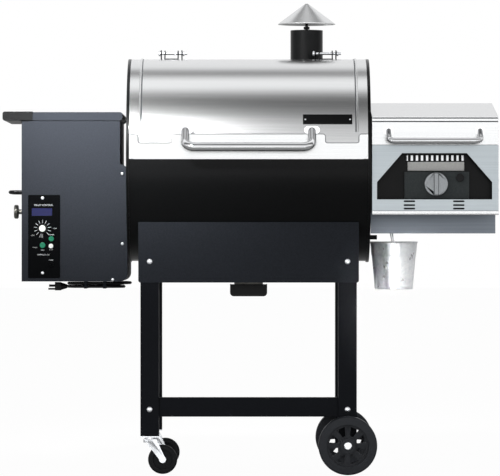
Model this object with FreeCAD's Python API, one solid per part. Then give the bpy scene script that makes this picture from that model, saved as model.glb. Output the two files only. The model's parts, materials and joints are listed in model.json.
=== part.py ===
"""Pellet smoker grill with a side sear box: one STEP file for each piece, in millimetres.

The model is laid out with X to the right, Y to the back and Z up, the barrel's axis over
X = 0, Y = 0 and the floor at Z = 0. The last step moves everything so that the origin is the
centre of the object's footprint on the floor.
"""
import FreeCAD
import Part
import math
import os

V = FreeCAD.Vector

# ---- driving dimensions: barrel and frame -------------------------------------------------
axis_height = 820.0          # barrel axis above the floor
barrel_radius = 266.0        # outside of the black body
barrel_length = 635.0        # over both end caps
sheet = 2.0                  # body, hopper and box sheet
half = barrel_length / 2
cap_depth = 7.0              # end cap, along X
cap_stand = 3.0              # how far an end cap stands out past the body
gap = 1.0                    # between a lid and what it closes on
lid_sheet = 1.5
door_low_angle = 8.0         # mouth of the cooking chamber, from the front up and over
door_high_angle = 84.0
door_margin = 48.0           # from the mouth to each end of the body

hinge_pin_height = 20.0      # lid pin above the top of the barrel
hinge_pin_back = 40.0        # lid pin behind the barrel axis
hinge_offset = 205.0         # hinge centre from the middle
hinge_pin_radius = 3.5
run_fit = 0.06               # radial clearance of a pin or shaft in its hole

handle_radius = 11.0
handle_half = 164.0
skirt_height = 64.0
skirt_sheet = 1.5
notch_inner = 199.0
notch_outer = 286.0
notch_depth = 23.0

leg_width = 48.0
leg_wall = 2.0
leg_offset = 257.5           # leg centre from the middle
leg_front = 210.0            # leg face from the barrel axis
leg_clear = 9.0              # leg top under the barrel
apron_bottom = axis_height - 321
apron_lap = 5.5              # apron side past the leg
rail_height = 50.0
rail_depth = 25.0
front_rail_bottom = 150.0
rear_rail_bottom = 133.0
bolt_head_radius = 7.0
bolt_radius = 4.0

wheel_radius = 76.2          # six inch wheel
wheel_width = 38.0
wheel_bore = 6.0
wheel_gap = 6.0              # wheel to leg
right_leg_bottom = 56.0
caster_radius = 38.0         # three inch caster
caster_width = 24.0
caster_trail = 33.5
caster_plate = 3.0
left_leg_bottom = 2 * caster_radius + 23   # room for the plate and the swivel

# ---- driving dimensions: chimney ----------------------------------------------------------
chimney_x = 156.0
chimney_y = 150.0
chimney_radius = 43.5
chimney_top = 353.0          # pipe top above the barrel axis
chimney_cap_radius = 77.0
chimney_cap_rise = 16.0      # cap rim above the pipe top
chimney_cap_height = 56.0
stud_radius = 4.0

# ---- driving dimensions: hopper -----------------------------------------------------------
hopper_left = -half - 277.5
hopper_neck = -half - 19.5   # right face of the upper part
hopper_front = -130.0
hopper_back = 210.0
hopper_bottom = axis_height - 319
hopper_shoulder = axis_height - 11
hopper_top = axis_height + 102
hopper_corner = 21.0
hopper_lid_height = 23.0
grip_left = hopper_left - 50
grip_right = hopper_left + 29
panel_left = hopper_left + 17
panel_right = panel_left + 84
panel_low = hopper_bottom + 9
panel_high = panel_low + 218
dial_x = panel_left + 38
dial_z = panel_low + 130
dial_radius = 13.0
auger_z = axis_height - 200
auger_radius = 27.0
auger_pitch = 45.0
knob_y = 70.0                # ash pull knob and its rod
knob_z = hopper_bottom + 184
knob_radius = 18.5

# ---- driving dimensions: sear box ---------------------------------------------------------
sear_left = half + 3
sear_right = sear_left + 327.5
sear_front = -250.0
sear_back = 170.0
sear_bottom = axis_height - 134
sear_seam = axis_height + 36
sear_lid_front = 73.0        # height of the lid's front face
sear_lid_top = 118.0         # height of the lid's flat top
sear_slope_back = 40.0       # where the sloping top becomes flat
sear_handle_radius = 7.3
gas_knob_x = sear_left + 166.5
gas_knob_z = sear_bottom + 69
gas_knob_radius = 30.75
spark_x = gas_knob_x + 62
spark_z = sear_bottom + 85.5
window_left = sear_left + 12.5      # opening in the front panel: a box with its upper corners cut off
window_right = sear_left + 311
window_top_left = sear_left + 77.5
window_top_right = sear_left + 245.5
window_low = sear_bottom + 29
window_shoulder = sear_bottom + 74
window_high = sear_bottom + 149
fascia_left = sear_left + 84.5      # plate behind the gas knob
fascia_right = sear_left + 252.5
fascia_low = sear_bottom + 31
fascia_high = sear_bottom + 101
comb_left = sear_left + 88.5
comb_pitch = 13.2
comb_slot = 6.0
comb_count = 12
skirt_drop = 59.0                   # lower apron under the box

# ---- driving dimensions: bucket and cord --------------------------------------------------
bucket_x = half + 67.5
bucket_top = axis_height - 214
bucket_height = 127.0
bucket_rim_radius = 65.0
bucket_foot_radius = 51.5
bucket_sheet = 0.9
bail_wire = 1.75
bail_height = 72.0
bail_lean = 15.0
cord_radius = 3.8
hank_x = hopper_left + 192
hank_y = -19.4
hank_straight = 70.0
hank_inner = 24.0            # bend radius of the innermost turn
hank_pitch = 7.7             # turn to turn
hank_rise = 8.5              # layer to layer
hank_gap = 1.8               # hank to the hopper's bottom

body_half = half - cap_depth
barrel_top = axis_height + barrel_radius
barrel_bottom = axis_height - barrel_radius

nodes = {}


# ---- building blocks ----------------------------------------------------------------------
def block(x0, x1, y0, y1, z0, z1):
    return Part.makeBox(x1 - x0, y1 - y0, z1 - z0, V(x0, y0, z0))


def rod(start, end, radius):
    """Round bar from start to end."""
    a = V(*start)
    run = V(*end) - a
    return Part.makeCylinder(radius, run.Length, a, run)


def ring(start, end, outer, inner):
    """Tube from start to end."""
    return rod(start, end, outer).cut(rod(start, end, inner))


def along_x(x0, x1, y, z, radius):
    return rod((x0, y, z), (x1, y, z), radius)


def along_y(x, y0, y1, z, radius):
    return rod((x, y0, z), (x, y1, z), radius)


def along_z(x, y, z0, z1, radius):
    return rod((x, y, z0), (x, y, z1), radius)


def fused(shapes):
    shapes = list(shapes)
    if len(shapes) == 1:
        return shapes[0]
    return shapes[0].multiFuse(shapes[1:]).removeSplitter()


def prism(points, thickness):
    """Flat outline through the points, pushed out by the vector thickness."""
    outline = [V(*p) for p in points]
    outline.append(outline[0])
    return Part.Face(Part.makePolygon(outline)).extrude(V(*thickness))


def rounded_block(x0, x1, y0, y1, z0, z1, radius, direction):
    """Block with its four edges along the direction rounded."""
    solid = block(x0, x1, y0, y1, z0, z1)
    edges = []
    for edge in solid.Edges:
        along = edge.Vertexes[1].Point - edge.Vertexes[0].Point
        if abs(along.normalize().dot(V(*direction))) > 0.99:
            edges.append(edge)
    return solid.makeFillet(radius, edges)


def slot(x0, x1, y0, y1, z0, z1):
    """Block along X with fully round ends, as seen from the front."""
    r = (z1 - z0) / 2
    middle = (z0 + z1) / 2
    body = block(x0 + r, x1 - r, y0, y1, z0, z1)
    ends = [along_y(x0 + r, y0, y1, middle, r), along_y(x1 - r, y0, y1, middle, r)]
    return fused([body] + ends)


def path(points, radii):
    """Straight runs through the points, joined by tangent arcs of the given radii."""
    pts = [V(*p) for p in points]
    edges = []
    start = pts[0]
    for i in range(1, len(pts) - 1):
        into = (pts[i] - pts[i - 1]).normalize()
        out = (pts[i + 1] - pts[i]).normalize()
        turn = into.getAngle(out)
        setback = radii[i - 1] * math.tan(turn / 2)
        begin = pts[i] - into * setback
        finish = pts[i] + out * setback
        inward = (out - into).normalize()
        middle = pts[i] + inward * (radii[i - 1] / math.cos(turn / 2) - radii[i - 1])
        edges.append(Part.LineSegment(start, begin).toShape())
        edges.append(Part.Arc(begin, middle, finish).toShape())
        start = finish
    edges.append(Part.LineSegment(start, pts[-1]).toShape())
    return Part.Wire(edges)


def bar(points, radii, radius):
    """Round bar along a path."""
    wire = path(points, radii)
    first = V(*points[0])
    heading = V(*points[1]) - first
    section = Part.Wire(Part.Circle(first, heading, radius).toShape())
    return wire.makePipeShell([section], True, False)


def barrel_ring(x0, x1, outer, inner):
    """Ring round the barrel axis."""
    return ring((x0, 0, axis_height), (x1, 0, axis_height), outer, inner)


def barrel_core(x0, x1, radius):
    return along_x(x0, x1, 0, axis_height, radius)


def barrel_sector(x0, x1, low, high, reach):
    """Wedge round the barrel axis, with angles from the front up and over the top."""
    steps = 8
    outline = [(x0, 0, axis_height)]
    for i in range(steps + 1):
        a = math.radians(low + (high - low) * i / steps)
        outline.append((x0, -reach * math.cos(a), axis_height + reach * math.sin(a)))
    return prism(outline, (x1 - x0, 0, 0))


def barrel_band(x0, x1, low, high, outer, inner):
    """Part of a ring round the barrel axis between two angles."""
    return barrel_ring(x0, x1, outer, inner).common(barrel_sector(x0, x1, low, high, 2 * outer))


def turned(profile, x, y):
    """Solid turned about the upright axis at x, y from (radius, height) points."""
    points = [V(x + r, y, z) for r, z in profile]
    points.append(points[0])
    face = Part.Face(Part.makePolygon(points))
    return face.revolve(V(x, y, 0), V(0, 0, 1), 360)


def add(name, *solids):
    """Put separate solids into a node."""
    nodes.setdefault(name, []).extend(solids)


# ---- barrel -------------------------------------------------------------------------------
lid_inner = barrel_radius + gap
lid_outer = lid_inner + lid_sheet
grate_z = axis_height - 30
rack_z = axis_height + 112
chute_half = 38.0
rod_radius = 4.0
rod_clear = 2.0
tube_wall = 2.0
auger_tube_radius = auger_radius + 3.0 + tube_wall
spout_radius = 6.0
spout_z = bucket_top + 11.0


def chord(z, margin):
    """Half width of the barrel's inside at a height, less a margin."""
    return math.sqrt((barrel_radius - sheet) ** 2 - (z - axis_height) ** 2) - margin


def ledge_runs():
    """Height and run, front to back, of the ledge under each grate."""
    depth = chord(grate_z, 10)
    rack_back = chord(rack_z + 5, 14)
    return ((grate_z, -depth, depth), (rack_z, rack_back - 154, rack_back))


def make_barrel():
    """Rolled body with its mouth, smoke bore and ash hole, and two dished end caps."""
    body = barrel_ring(-body_half, body_half, barrel_radius, barrel_radius - sheet)
    mouth = barrel_sector(door_margin - body_half, body_half - door_margin, door_low_angle,
                          door_high_angle, 2 * barrel_radius)
    bore = along_z(chimney_x, chimney_y, axis_height, barrel_top, chimney_radius - sheet)
    ash_hole = block(-chute_half - gap, chute_half + gap, -chute_half - gap, chute_half + gap,
                     barrel_bottom - sheet, axis_height)
    add("barrel_body", body.cut(mouth).cut(bore).cut(ash_hole))
    for side in (-1, 1):
        x0, x1 = sorted((side * body_half, side * half))
        cap = barrel_core(x0, x1, barrel_radius + cap_stand)
        x0, x1 = sorted((side * body_half, side * (half - sheet)))
        cap = cap.cut(barrel_core(x0, x1, barrel_radius - sheet))
        if side < 0:
            cap = cap.cut(along_x(-half, -body_half, 0, auger_z, auger_tube_radius + gap / 2))
            cap = cap.cut(along_x(-half, -body_half, knob_y, knob_z, rod_radius + rod_clear))
        else:
            cap = cap.cut(along_x(body_half, half, 0, spout_z, spout_radius))
        for z, y0, y1 in ledge_runs():
            x0, x1 = sorted((side * (half - sheet), side * (body_half - 18)))
            cap = cap.fuse(block(x0, x1, y0, y1, z - 3, z))
        add("end_caps", cap.removeSplitter())


pin_y = hinge_pin_back
pin_z = barrel_top + hinge_pin_height
lid_rear_angle = 90 + math.degrees(math.atan2(pin_y, pin_z - axis_height))
lid_half = body_half - gap
skirt_top = axis_height + skirt_height


def make_lid():
    """Quarter-round lid with raised beads, a stepped skirt at its foot and its name plate."""
    shell = barrel_band(-lid_half, lid_half, 0, lid_rear_angle, lid_outer, lid_inner)
    bead_high = 1.6
    bead_x = 282.0 / 310.5 * body_half
    beads = []
    for side in (-1, 1):
        beads.append(barrel_band(side * bead_x - 2.5, side * bead_x + 2.5, 15, lid_rear_angle - 6,
                                 lid_outer + bead_high, lid_inner))
    add("lid_shell", fused([shell] + beads))
    face_y = -lid_outer
    plate = rounded_block(-lid_half, lid_half, face_y - skirt_sheet, face_y, axis_height - gap,
                          skirt_top, 15.0, (0, 1, 0))
    plate = fused([plate, block(-lid_half, lid_half, face_y - skirt_sheet, face_y,
                                axis_height + skirt_height / 2, skirt_top)])
    step = block(-lid_half, lid_half, face_y - skirt_sheet, 0, skirt_top - skirt_sheet, skirt_top)
    step = step.cut(barrel_core(-half, half, lid_outer))
    skirt = fused([plate, step])
    for side in (-1, 1):
        x0, x1 = sorted((side * notch_inner, side * notch_outer))
        cut = rounded_block(x0, x1, face_y - 5 * skirt_sheet, 0, skirt_top - notch_depth,
                            skirt_top + notch_depth, 8.0, (0, 1, 0))
        skirt = skirt.cut(cut.cut(barrel_core(-half, half, lid_outer)))
    add("lid_skirt", skirt)
    plate_low = 90.0
    plate_high = 115.0
    badge = barrel_band(141, 269, math.degrees(math.asin(plate_low / lid_outer)),
                        math.degrees(math.asin(plate_high / lid_outer)), lid_outer + 1.5, lid_outer)
    add("lid_fittings", badge)


def u_handle(x0, x1, wall_y, mount_z, reach, bar_z, radius, bend):
    """Bent round bar that stands off a front wall and carries a straight grip."""
    grip_y = wall_y - reach
    points = [(x0, wall_y, mount_z), (x0, grip_y, bar_z), (x1, grip_y, bar_z), (x1, wall_y, mount_z)]
    return bar(points, [bend, bend], radius)


handle_mount_z = 67.0 + axis_height
handle_reach = 63.0
handle_bar_z = 30.0 + axis_height
escutcheon_half = 20.5
escutcheon_high = 20.0


def make_lid_handle():
    """Round bar handle and the two oval foot plates that hold it to the lid."""
    wall_y = -math.sqrt(lid_outer ** 2 - (handle_mount_z - axis_height) ** 2)
    foot_face = -lid_outer - skirt_sheet - gap
    feet = []
    for side in (-1, 1):
        x = side * handle_half
        foot = slot(x - escutcheon_half, x + escutcheon_half, foot_face, 0, skirt_top + 0.5,
                    skirt_top + 0.5 + escutcheon_high)
        feet.append(foot.cut(barrel_core(-half, half, lid_outer)))
    add("lid_handle", *feet)
    grip = u_handle(-handle_half, handle_half, wall_y, handle_mount_z + 9, handle_reach,
                    handle_bar_z, handle_radius, 24.0)
    add("lid_handle", grip.cut(block(-half, half, foot_face, 0, axis_height, barrel_top)))


ear_offset = 26.0
ear_sheet = 3.0
lug_offset = 19.0


def ear(x0, x1, foot_low, foot_high, foot_radius, boss):
    """Upright hinge plate: a boss round the pin, hulled down to the barrel or the lid."""
    def on_arc(angle, radius):
        a = math.radians(angle)
        return (x0, -radius * math.cos(a), axis_height + radius * math.sin(a))
    front = on_arc(foot_low, foot_radius)
    back = on_arc(foot_high, foot_radius)
    lean = boss / math.sqrt(2)
    if foot_low > lid_rear_angle:
        shoulder = [(x0, pin_y + lean, pin_z + lean), (x0, pin_y - lean, pin_z - lean)]
        outline = [front, back] + shoulder
    else:
        shoulder = [(x0, pin_y + lean, pin_z - lean), (x0, pin_y - lean, pin_z + lean)]
        outline = [front, back] + shoulder
    web = prism(outline, (x1 - x0, 0, 0))
    return fused([web, along_x(x0, x1, pin_y, pin_z, boss)])


def make_lid_hinges():
    """Two pinned hinges: a fixed bracket on the body and a leaf on the lid, each side."""
    brackets = []
    leaves = []
    pins = []
    base_low = lid_rear_angle + 1.0
    base_high = base_low + 9.0
    strap_high = lid_rear_angle - 0.2
    strap_low = strap_high - 9.0
    for side in (-1, 1):
        x = side * hinge_offset
        outer = ear_offset + ear_sheet
        base = barrel_band(x - outer, x + outer, base_low, base_high, barrel_radius + ear_sheet,
                           barrel_radius)
        pieces = [base]
        for edge in (-1, 1):
            low, high = sorted((x + edge * ear_offset, x + edge * outer))
            pieces.append(ear(low, high, base_low + 0.4, base_high, barrel_radius + 1, 9.0))
        bracket = fused(pieces)
        hole = along_x(x - outer, x + outer, pin_y, pin_z, hinge_pin_radius + run_fit)
        brackets.append(bracket.cut(hole).cut(barrel_core(-half, half, barrel_radius)))
        strap = barrel_band(x - lug_offset, x + lug_offset, strap_low, strap_high,
                            lid_outer + ear_sheet - 0.5, lid_outer)
        pieces = [strap]
        for edge in (-1, 1):
            low, high = sorted((x + edge * lug_offset, x + edge * (lug_offset - ear_sheet)))
            pieces.append(ear(low, high, strap_high - 5.0, strap_high - 0.3, lid_outer + 1, 8.0))
        leaf = fused(pieces).cut(hole).cut(barrel_core(-half, half, lid_outer))
        leaves.append(leaf)
        pin = along_x(x - outer - 6, x + outer + 12, pin_y, pin_z, hinge_pin_radius)
        head = along_x(x - outer - 5, x - outer - 0.5, pin_y, pin_z, 2 * hinge_pin_radius)
        nut = along_x(x + outer + 0.5, x + outer + 5, pin_y, pin_z, 1.8 * hinge_pin_radius)
        pins.append(fused([pin, head, nut]))
    add("hinge_brackets", *brackets)
    add("lid_fittings", *leaves)
    add("hinge_brackets", *pins)


pipe_top = axis_height + chimney_top
cap_rim_z = pipe_top + chimney_cap_rise
hub_bottom = cap_rim_z + 6.0


def make_chimney():
    """Pipe on a saddle flange, a cross strap with a threaded stud and a cone cap on the stud."""
    flange_sheet = 3.0
    flange = barrel_ring(chimney_x - 80, chimney_x + 80, barrel_radius + flange_sheet, barrel_radius)
    foot = along_z(chimney_x, chimney_y, axis_height, barrel_top, 1.42 * chimney_radius)
    bore = along_z(chimney_x, chimney_y, axis_height, barrel_top, chimney_radius - sheet)
    flange = flange.common(foot).cut(bore)
    pipe = ring((chimney_x, chimney_y, axis_height), (chimney_x, chimney_y, pipe_top),
                chimney_radius, chimney_radius - sheet)
    pipe = pipe.cut(barrel_core(-half, half, barrel_radius + flange_sheet))
    add("chimney_pipe", pipe, flange)
    bore_radius = chimney_radius - sheet
    strap_z = pipe_top - 22
    strap = block(chimney_x - bore_radius, chimney_x + bore_radius, chimney_y - 7, chimney_y + 7,
                  strap_z - 2.5, strap_z)
    strap = strap.common(along_z(chimney_x, chimney_y, strap_z - 5, strap_z + 5, bore_radius))
    stud_top = hub_bottom + 20
    stud = along_z(chimney_x, chimney_y, strap_z, stud_top, stud_radius)
    nut = along_z(chimney_x, chimney_y, pipe_top + 3, pipe_top + 10, 2 * stud_radius)
    add("chimney_pipe", fused([strap, stud, nut]))
    r = chimney_cap_radius
    top = cap_rim_z + chimney_cap_height
    skin = 2.2
    hub = 2.4 * stud_radius
    bore = stud_radius + run_fit
    ceiling = stud_top + 12
    slope = (r - 4) / chimney_cap_height
    hub_meet = top - skin - (hub - 4) / slope
    profile = [(r, cap_rim_z), (r, cap_rim_z + 1.5), (4, top), (0, top), (0, ceiling),
               (bore, ceiling), (bore, hub_bottom), (hub, hub_bottom), (hub, hub_meet),
               (r - 3, cap_rim_z)]
    add("chimney_cap", turned(profile, chimney_x, chimney_y))


# ---- inside the barrel --------------------------------------------------------------------
def grid(x0, x1, y0, y1, z, thick, pitch):
    """Flat grate: a frame with bars from front to back and three cross bars."""
    frame = block(x0, x1, y0, y1, z, z + thick)
    frame = frame.cut(block(x0 + thick, x1 - thick, y0 + thick, y1 - thick, z - 1, z + thick + 1))
    count = int((x1 - x0) / pitch)
    step = (x1 - x0) / count
    bars = []
    for i in range(1, count):
        x = x0 + i * step
        bars.append(block(x - thick / 2, x + thick / 2, y0 + thick / 2, y1 - thick / 2, z, z + thick))
    for share in (0.25, 0.5, 0.75):
        y = y0 + (y1 - y0) * share
        bars.append(block(x0 + thick / 2, x1 - thick / 2, y - thick / 2, y + thick / 2, z, z + thick))
    return fused([frame] + bars)


pot_radius = 50.0
pot_bottom = barrel_bottom + 21
pot_top = pot_bottom + 82
gate_sheet = 3.0
gate_z = pot_bottom - gate_sheet - gap
tray_left_z = axis_height - 85
tray_fall = 20.0


def make_cooking_parts():
    """Grates and their ledges, drip tray, heat plate, fire pot and igniter."""
    reach = body_half - 12
    depth = chord(grate_z, 6)
    rack_back = chord(rack_z + 5, 8)
    add("grates", grid(-reach, reach, -depth, depth, grate_z, 5, 17),
        grid(-reach, reach, rack_back - 170, rack_back, rack_z, 4, 22))
    low = tray_left_z - tray_fall
    tray_y = chord(low, 14)
    outline = [(-reach, -tray_y, tray_left_z), (reach - 14, -tray_y, low), (reach - 14, -tray_y, low + 2),
               (-reach, -tray_y, tray_left_z + 2)]
    tray = prism(outline, (0, 2 * tray_y, 0))
    lips = []
    for side in (-1, 1):
        y0, y1 = sorted((side * tray_y, side * (tray_y - 2)))
        lips.append(prism([(-reach, y0, tray_left_z), (reach - 14, y0, low), (reach - 14, y0, low + 14),
                           (-reach, y0, tray_left_z + 14)], (0, y1 - y0, 0)))
    add("drip_tray", fused([tray] + lips))
    plate = block(-170, 170, -56, 56, pot_top + 18, pot_top + 21)
    legs = []
    for sx in (-1, 1):
        for sy in (-1, 1):
            x0, x1 = sorted((sx * 170, sx * 164))
            y0, y1 = sorted((sy * 50, sy * 56))
            legs.append(block(x0, x1, y0, y1, barrel_bottom, pot_top + 19))
    tent = fused([plate] + legs)
    add("drip_tray", tent.common(barrel_core(-half, half, barrel_radius - sheet)))
    pot = rod((0, 0, pot_bottom), (0, 0, pot_top), pot_radius)
    pot = pot.cut(rod((0, 0, pot_bottom + 3), (0, 0, pot_top), pot_radius - 3))
    pot = pot.cut(rod((0, 0, pot_bottom), (0, 0, pot_top), chute_half - 6))
    pot = pot.cut(along_x(-pot_radius, 0, 0, auger_z, auger_tube_radius - tube_wall))
    air_z = pot_bottom + 5
    pot = pot.cut(along_x(-pot_radius, 0, -14, air_z + 6, 5))
    add("fire_pot", pot)
    add("fire_pot", along_x(-pot_radius - 90, -pot_radius + 6, -14, air_z + 6, 4.6))
    add("fire_pot", along_x(-half + sheet, -half + 75, 150, axis_height + 30, 3.0))


def make_auger():
    """Feed tube, screw, gear motor and blower, between the hopper and the fire pot."""
    tube_start = hopper_neck - 143
    tube = ring((tube_start, 0, auger_z), (-pot_radius + 1, 0, auger_z), auger_tube_radius,
                auger_tube_radius - tube_wall)
    tube = tube.cut(rod((0, 0, pot_bottom), (0, 0, pot_top), pot_radius))
    mouth = block(tube_start + 12, hopper_neck - 60, -24, 24, auger_z, auger_z + 2 * auger_radius)
    add("auger_tube", tube.cut(mouth))
    shaft_radius = 8.0
    screw_start = tube_start + 8
    screw_end = -pot_radius - 8
    helix = Part.makeHelix(auger_pitch, screw_end - screw_start, shaft_radius)
    blade = 3.0
    section = Part.makePolygon([V(shaft_radius - 2, 0, 0), V(auger_radius, 0, 0),
                                V(auger_radius, 0, blade), V(shaft_radius - 2, 0, blade),
                                V(shaft_radius - 2, 0, 0)])
    flight = Part.Wire(helix).makePipeShell([section], True, True)
    flight.rotate(V(0, 0, 0), V(0, 1, 0), 90)
    flight.translate(V(screw_start, 0, auger_z))
    motor_right = tube_start - 5
    shaft = along_x(motor_right - 25, screw_end, 0, auger_z, shaft_radius)
    add("auger_screw", shaft.fuse(flight))
    case = block(motor_right - 45, motor_right, -36, 36, auger_z - 36, auger_z + 36)
    can = along_x(motor_right - 90, motor_right - 45, 0, auger_z - 8, 26)
    socket = along_x(motor_right - 30, motor_right, 0, auger_z, shaft_radius + run_fit)
    add("drive_motors", fused([case, can]).cut(socket))
    fan_x = hopper_neck - 70
    fan_z = hopper_bottom + sheet + 44
    house = along_y(fan_x, 60, 110, fan_z, 42)
    house = house.cut(along_y(fan_x, 62, 110, fan_z, 40))
    spindle = along_y(fan_x, 40, 62, fan_z, 14)
    bore = along_y(fan_x, 40, 70, fan_z, 3 + run_fit)
    add("drive_motors", fused([house, spindle]).cut(bore))
    wheel = [along_y(fan_x, 45, 100, fan_z, 3), along_y(fan_x, 66, 69, fan_z, 35)]
    for i in range(10):
        vane = block(fan_x - 1, fan_x + 1, 68, 98, fan_z + 20, fan_z + 35)
        vane.rotate(V(fan_x, 0, fan_z), V(0, 1, 0), 36 * i)
        wheel.append(vane)
    wheel.append(along_y(fan_x, 68, 72, fan_z, 10))
    add("blower_wheel", fused(wheel))


def make_ash_parts():
    """Chute under the barrel, sliding gate with its pull rod and knob, and the ash cup."""
    cup_half = 49.0
    cup_bottom = apron_bottom - 38
    cup_top = apron_bottom - 6
    flange_z = apron_bottom - 12
    chute = block(-chute_half, chute_half, -chute_half, chute_half, flange_z, gate_z - gap)
    flange = block(-chute_half - 6, chute_half + 6, -chute_half, chute_half, flange_z, flange_z + 2)
    hollow = block(-chute_half + 2, chute_half - 2, -chute_half + 2, chute_half - 2, flange_z - 1, gate_z)
    add("fire_pot", fused([chute, flange]).cut(hollow))
    outer = rounded_block(-cup_half, cup_half, -cup_half, cup_half, cup_bottom, cup_top + 20, 10.0,
                          (0, 1, 0))
    outer = outer.common(block(-cup_half, cup_half, -cup_half, cup_half, cup_bottom, cup_top))
    well = rounded_block(-cup_half + 2, cup_half - 2, -cup_half + 2, cup_half - 2, cup_bottom + 2,
                         cup_top + 20, 8.0, (0, 1, 0))
    cup = outer.cut(well)
    back = block(-cup_half, cup_half, cup_half - 3, cup_half + 1, flange_z - gap, cup_top + 1)
    lips = []
    for side in (-1, 1):
        x0, x1 = sorted((side * (cup_half - 1), side * (chute_half + 1.5)))
        lips.append(block(x0, x1, -cup_half + 1, cup_half - 1, flange_z + 2.5, flange_z + 4.5))
    tab = rounded_block(-12, 12, -cup_half - 9, -cup_half + 1, cup_bottom + 18, cup_bottom + 30, 3.0,
                        (0, 1, 0))
    add("ash_cup", fused([cup] + lips + [tab]).cut(back))
    knob_left = hopper_left - 31
    gate_left = -pot_radius - 34
    knob = along_x(knob_left, knob_left + 12, knob_y, knob_z, knob_radius)
    knob = knob.makeFillet(4.0, [e for e in knob.Edges if e.Closed])
    neck = along_x(knob_left + 8, hopper_left - 5, knob_y, knob_z, 6.5)
    add("ash_gate", fused([knob, neck]))
    pull = along_x(hopper_left - 5, gate_left + 8, knob_y, knob_z, rod_radius)
    drop = block(gate_left, gate_left + 8, knob_y - 4, knob_y + 4, gate_z, knob_z + rod_radius)
    plate = block(gate_left, chute_half, -chute_half, knob_y + 4, gate_z, gate_z + gate_sheet)
    add("ash_gate", fused([pull, drop, plate]))


# ---- frame --------------------------------------------------------------------------------
leg_inner = leg_front - leg_width
leg_top = axis_height - math.sqrt(barrel_radius ** 2 - leg_inner ** 2) - leg_clear
bolt_low_z = front_rail_bottom + 19
bolt_high_z = apron_bottom + 55


def make_frame():
    """Four square legs, aprons that carry the barrel, saddles and lower rails, with bolts."""
    w = leg_width / 2
    bolts = []
    for sx in (-1, 1):
        for sy in (-1, 1):
            x = sx * leg_offset
            y = sy * (leg_front - w)
            bottom = left_leg_bottom if sx < 0 else right_leg_bottom
            leg = block(x - w, x + w, y - w, y + w, bottom, leg_top)
            leg = leg.cut(block(x - w + leg_wall, x + w - leg_wall, y - w + leg_wall,
                                y + w - leg_wall, bottom + leg_wall, leg_top))
            face = sy * leg_front
            for z, proud in ((bolt_low_z, 0), (bolt_high_z, sheet)):
                shank_end = face - sy * 10
                head_start = face + sy * proud
                shank = along_y(x, *sorted((shank_end, head_start)), z, bolt_radius)
                head = along_y(x, *sorted((head_start, head_start + sy * 4)), z, bolt_head_radius)
                bolts.append(fused([shank, head]))
                leg = leg.cut(along_y(x, *sorted((shank_end, face)), z, bolt_radius))
            if sx > 0:
                leg = leg.cut(along_y(x, y - w, y + w, wheel_radius, wheel_bore))
            add("legs", leg)
    add("fasteners", *bolts)
    side = leg_offset + w + apron_lap
    for sy in (-1, 1):
        face = sy * leg_front
        top = axis_height - math.sqrt(barrel_radius ** 2 - leg_front ** 2)
        y0, y1 = sorted((face, face + sy * sheet))
        plate = rounded_block(-side, side, y0, y1, apron_bottom, top + 20, 6.0, (0, 1, 0))
        plate = plate.common(block(-side, side, y0, y1, apron_bottom, top))
        wings = []
        for sx in (-1, 1):
            x0, x1 = sorted((sx * (side - sheet), sx * side))
            y2, y3 = sorted((face + sy * sheet, face - sy * 40))
            wings.append(block(x0, x1, y2, y3, apron_bottom + 8, top))
        apron = fused([plate] + wings).cut(barrel_core(-half, half, barrel_radius + 0.3))
        for sx in (-1, 1):
            hole = along_y(sx * leg_offset, *sorted((face, face + sy * sheet)), bolt_high_z, bolt_radius)
            apron = apron.cut(hole)
        add("aprons", apron)
    for sx in (-1, 1):
        x0, x1 = sorted((sx * (leg_offset - 2), sx * (leg_offset + 2)))
        web = block(x0, x1, -leg_inner, leg_inner, apron_bottom + 6, leg_top)
        x2, x3 = sorted((sx * (leg_offset - 15), sx * (leg_offset + 15)))
        foot = block(x2, x3, -leg_inner, leg_inner, apron_bottom + 6, apron_bottom + 10)
        add("frame_rails", fused([web, foot]).cut(barrel_core(-half, half, barrel_radius)))
    inner = leg_offset - w
    for sy, z in ((-1, front_rail_bottom), (1, rear_rail_bottom)):
        y0, y1 = sorted((sy * (leg_front - 5), sy * (leg_front - 5 - rail_depth)))
        rail = block(-inner, inner, y0, y1, z, z + rail_height)
        add("frame_rails", rail.cut(block(-inner, inner, y0 + 2, y1 - 2, z + 2, z + rail_height - 2)))
    for sx in (-1, 1):
        x = sx * leg_offset
        z = front_rail_bottom
        rail = block(x - rail_depth / 2, x + rail_depth / 2, -leg_inner, leg_inner, z, z + rail_height)
        core = block(x - rail_depth / 2 + 2, x + rail_depth / 2 - 2, -leg_inner, leg_inner, z + 2,
                     z + rail_height - 2)
        add("frame_rails", rail.cut(core))


def make_big_wheel(y0, y1):
    """Moulded wheel: solid tread, thin web with eight wedge windows and a hub."""
    x = leg_offset
    z = wheel_radius
    tread = 0.72 * wheel_radius
    disc = along_y(x, y0, y1, z, wheel_radius)
    rims = [e for e in disc.Edges if e.Closed]
    disc = disc.makeFillet(5.0, rims)
    web = 9.0
    middle = (y0 + y1) / 2
    dish = [ring((x, y0, z), (x, middle - web / 2, z), tread, 0.26 * wheel_radius),
            ring((x, middle + web / 2, z), (x, y1, z), tread, 0.26 * wheel_radius)]
    for pocket in dish:
        disc = disc.cut(pocket)
    low = 0.33 * wheel_radius
    high = 0.64 * wheel_radius
    for i in range(8):
        a = math.radians(45 * i + 22.5)
        window = []
        for r, spread in ((low, 9), (high, 13), (high, -13), (low, -9)):
            b = a + math.radians(spread)
            window.append((x + r * math.cos(b), y0, z + r * math.sin(b)))
        disc = disc.cut(prism(window, (0, y1 - y0, 0)))
    return disc.cut(along_y(x, y0, y1, z, wheel_bore + run_fit))


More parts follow.
